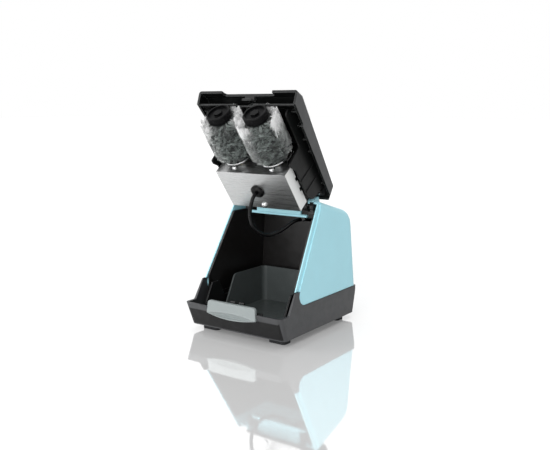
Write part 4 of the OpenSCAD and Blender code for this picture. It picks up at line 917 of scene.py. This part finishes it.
def floor_material(name):
    """A pale studio floor: lit diffuse with the object's shadow, under a soft mirror."""
    m, nt, bsdf = new_material(name)
    veil = noise(nt, coords(nt), VEIL_SCALE, 4, 0.6)
    dim, bright = ((grey, grey, grey, 1) for grey in FLOOR_GREYS)
    nt.links.new(ramp(nt, veil, [(0.3, dim), (0.7, bright)]), bsdf.inputs["Base Color"])
    bsdf.inputs["Roughness"].default_value = 0.6
    bsdf.inputs["Specular IOR Level"].default_value = 0.0
    glow = nt.nodes.new("ShaderNodeEmission")
    glow.inputs["Color"].default_value = (1, 1, 1, 1)
    away = nt.nodes.new("ShaderNodeVectorMath")
    away.operation = "LENGTH"
    nt.links.new(coords(nt), away.inputs[0])
    far = span(nt, away.outputs["Value"], WHITE_FROM, WHITE_BY, WHITE_LEAST, 1.0)
    camera_ray = nt.nodes.new("ShaderNodeLightPath").outputs["Is Camera Ray"]
    nt.links.new(maths(nt, "MULTIPLY", camera_ray, far), glow.inputs["Strength"])
    lit = nt.nodes.new("ShaderNodeAddShader")
    nt.links.new(bsdf.outputs[0], lit.inputs[0])
    nt.links.new(glow.outputs[0], lit.inputs[1])
    gloss = nt.nodes.new("ShaderNodeBsdfGlossy")
    gloss.inputs["Color"].default_value = (1, 1, 1, 1)
    polish = noise(nt, coords(nt), POLISH_SCALE, 3, 0.6)
    nt.links.new(span(nt, polish, *NOISE_SPAN, *FLOOR_ROUGH), gloss.inputs["Roughness"])
    join = nt.nodes.new("ShaderNodeMixShader")
    join.inputs[0].default_value = FLOOR_MIRROR
    nt.links.new(lit.outputs[0], join.inputs[1])
    nt.links.new(gloss.outputs[0], join.inputs[2])
    nt.links.new(join.outputs[0], nt.nodes["Material Output"].inputs["Surface"])
    return m


floor = mesh_object("floor", [(-FLOOR_HALF, -FLOOR_HALF, 0), (FLOOR_HALF, -FLOOR_HALF, 0),
                              (FLOOR_HALF, FLOOR_HALF, 0), (-FLOOR_HALF, FLOOR_HALF, 0)],
                    [(0, 1, 2, 3)], smooth=False)
floor.data.materials.append(floor_material("floor_gloss"))

# The world lights softly, and is white where the camera, a gloss or a glass sees it.
world = bpy.data.worlds.new("studio")
SCENE.world = world
world.use_nodes = True
wt = world.node_tree
back = wt.nodes["Background"]
back.inputs["Color"].default_value = (1, 1, 1, 1)
rays = wt.nodes.new("ShaderNodeLightPath").outputs
seen = maths(wt, "MAXIMUM", rays["Is Camera Ray"], rays["Is Glossy Ray"])
seen = maths(wt, "MAXIMUM", seen, rays["Is Transmission Ray"])
strength = span(wt, seen, 0.0, 1.0, WORLD_LIGHT, WORLD_SEEN)
wt.links.new(strength, back.inputs["Strength"])

for name, place, aim, size, watts in LAMPS:
    lamp = bpy.data.lights.new(name, "AREA")
    lamp.shape = "RECTANGLE"
    lamp.size, lamp.size_y = size
    lamp.energy = watts
    ob = bpy.data.objects.new(name, lamp)
    SCENE.collection.objects.link(ob)
    ob.location = place
    d = np.array(aim, float) - np.array(place, float)
    tilt = math.atan2(math.hypot(d[0], d[1]), -d[2])
    ob.rotation_euler = (tilt, 0, math.atan2(d[1], d[0]) - math.pi / 2)

SCENE.view_settings.view_transform = "Standard"
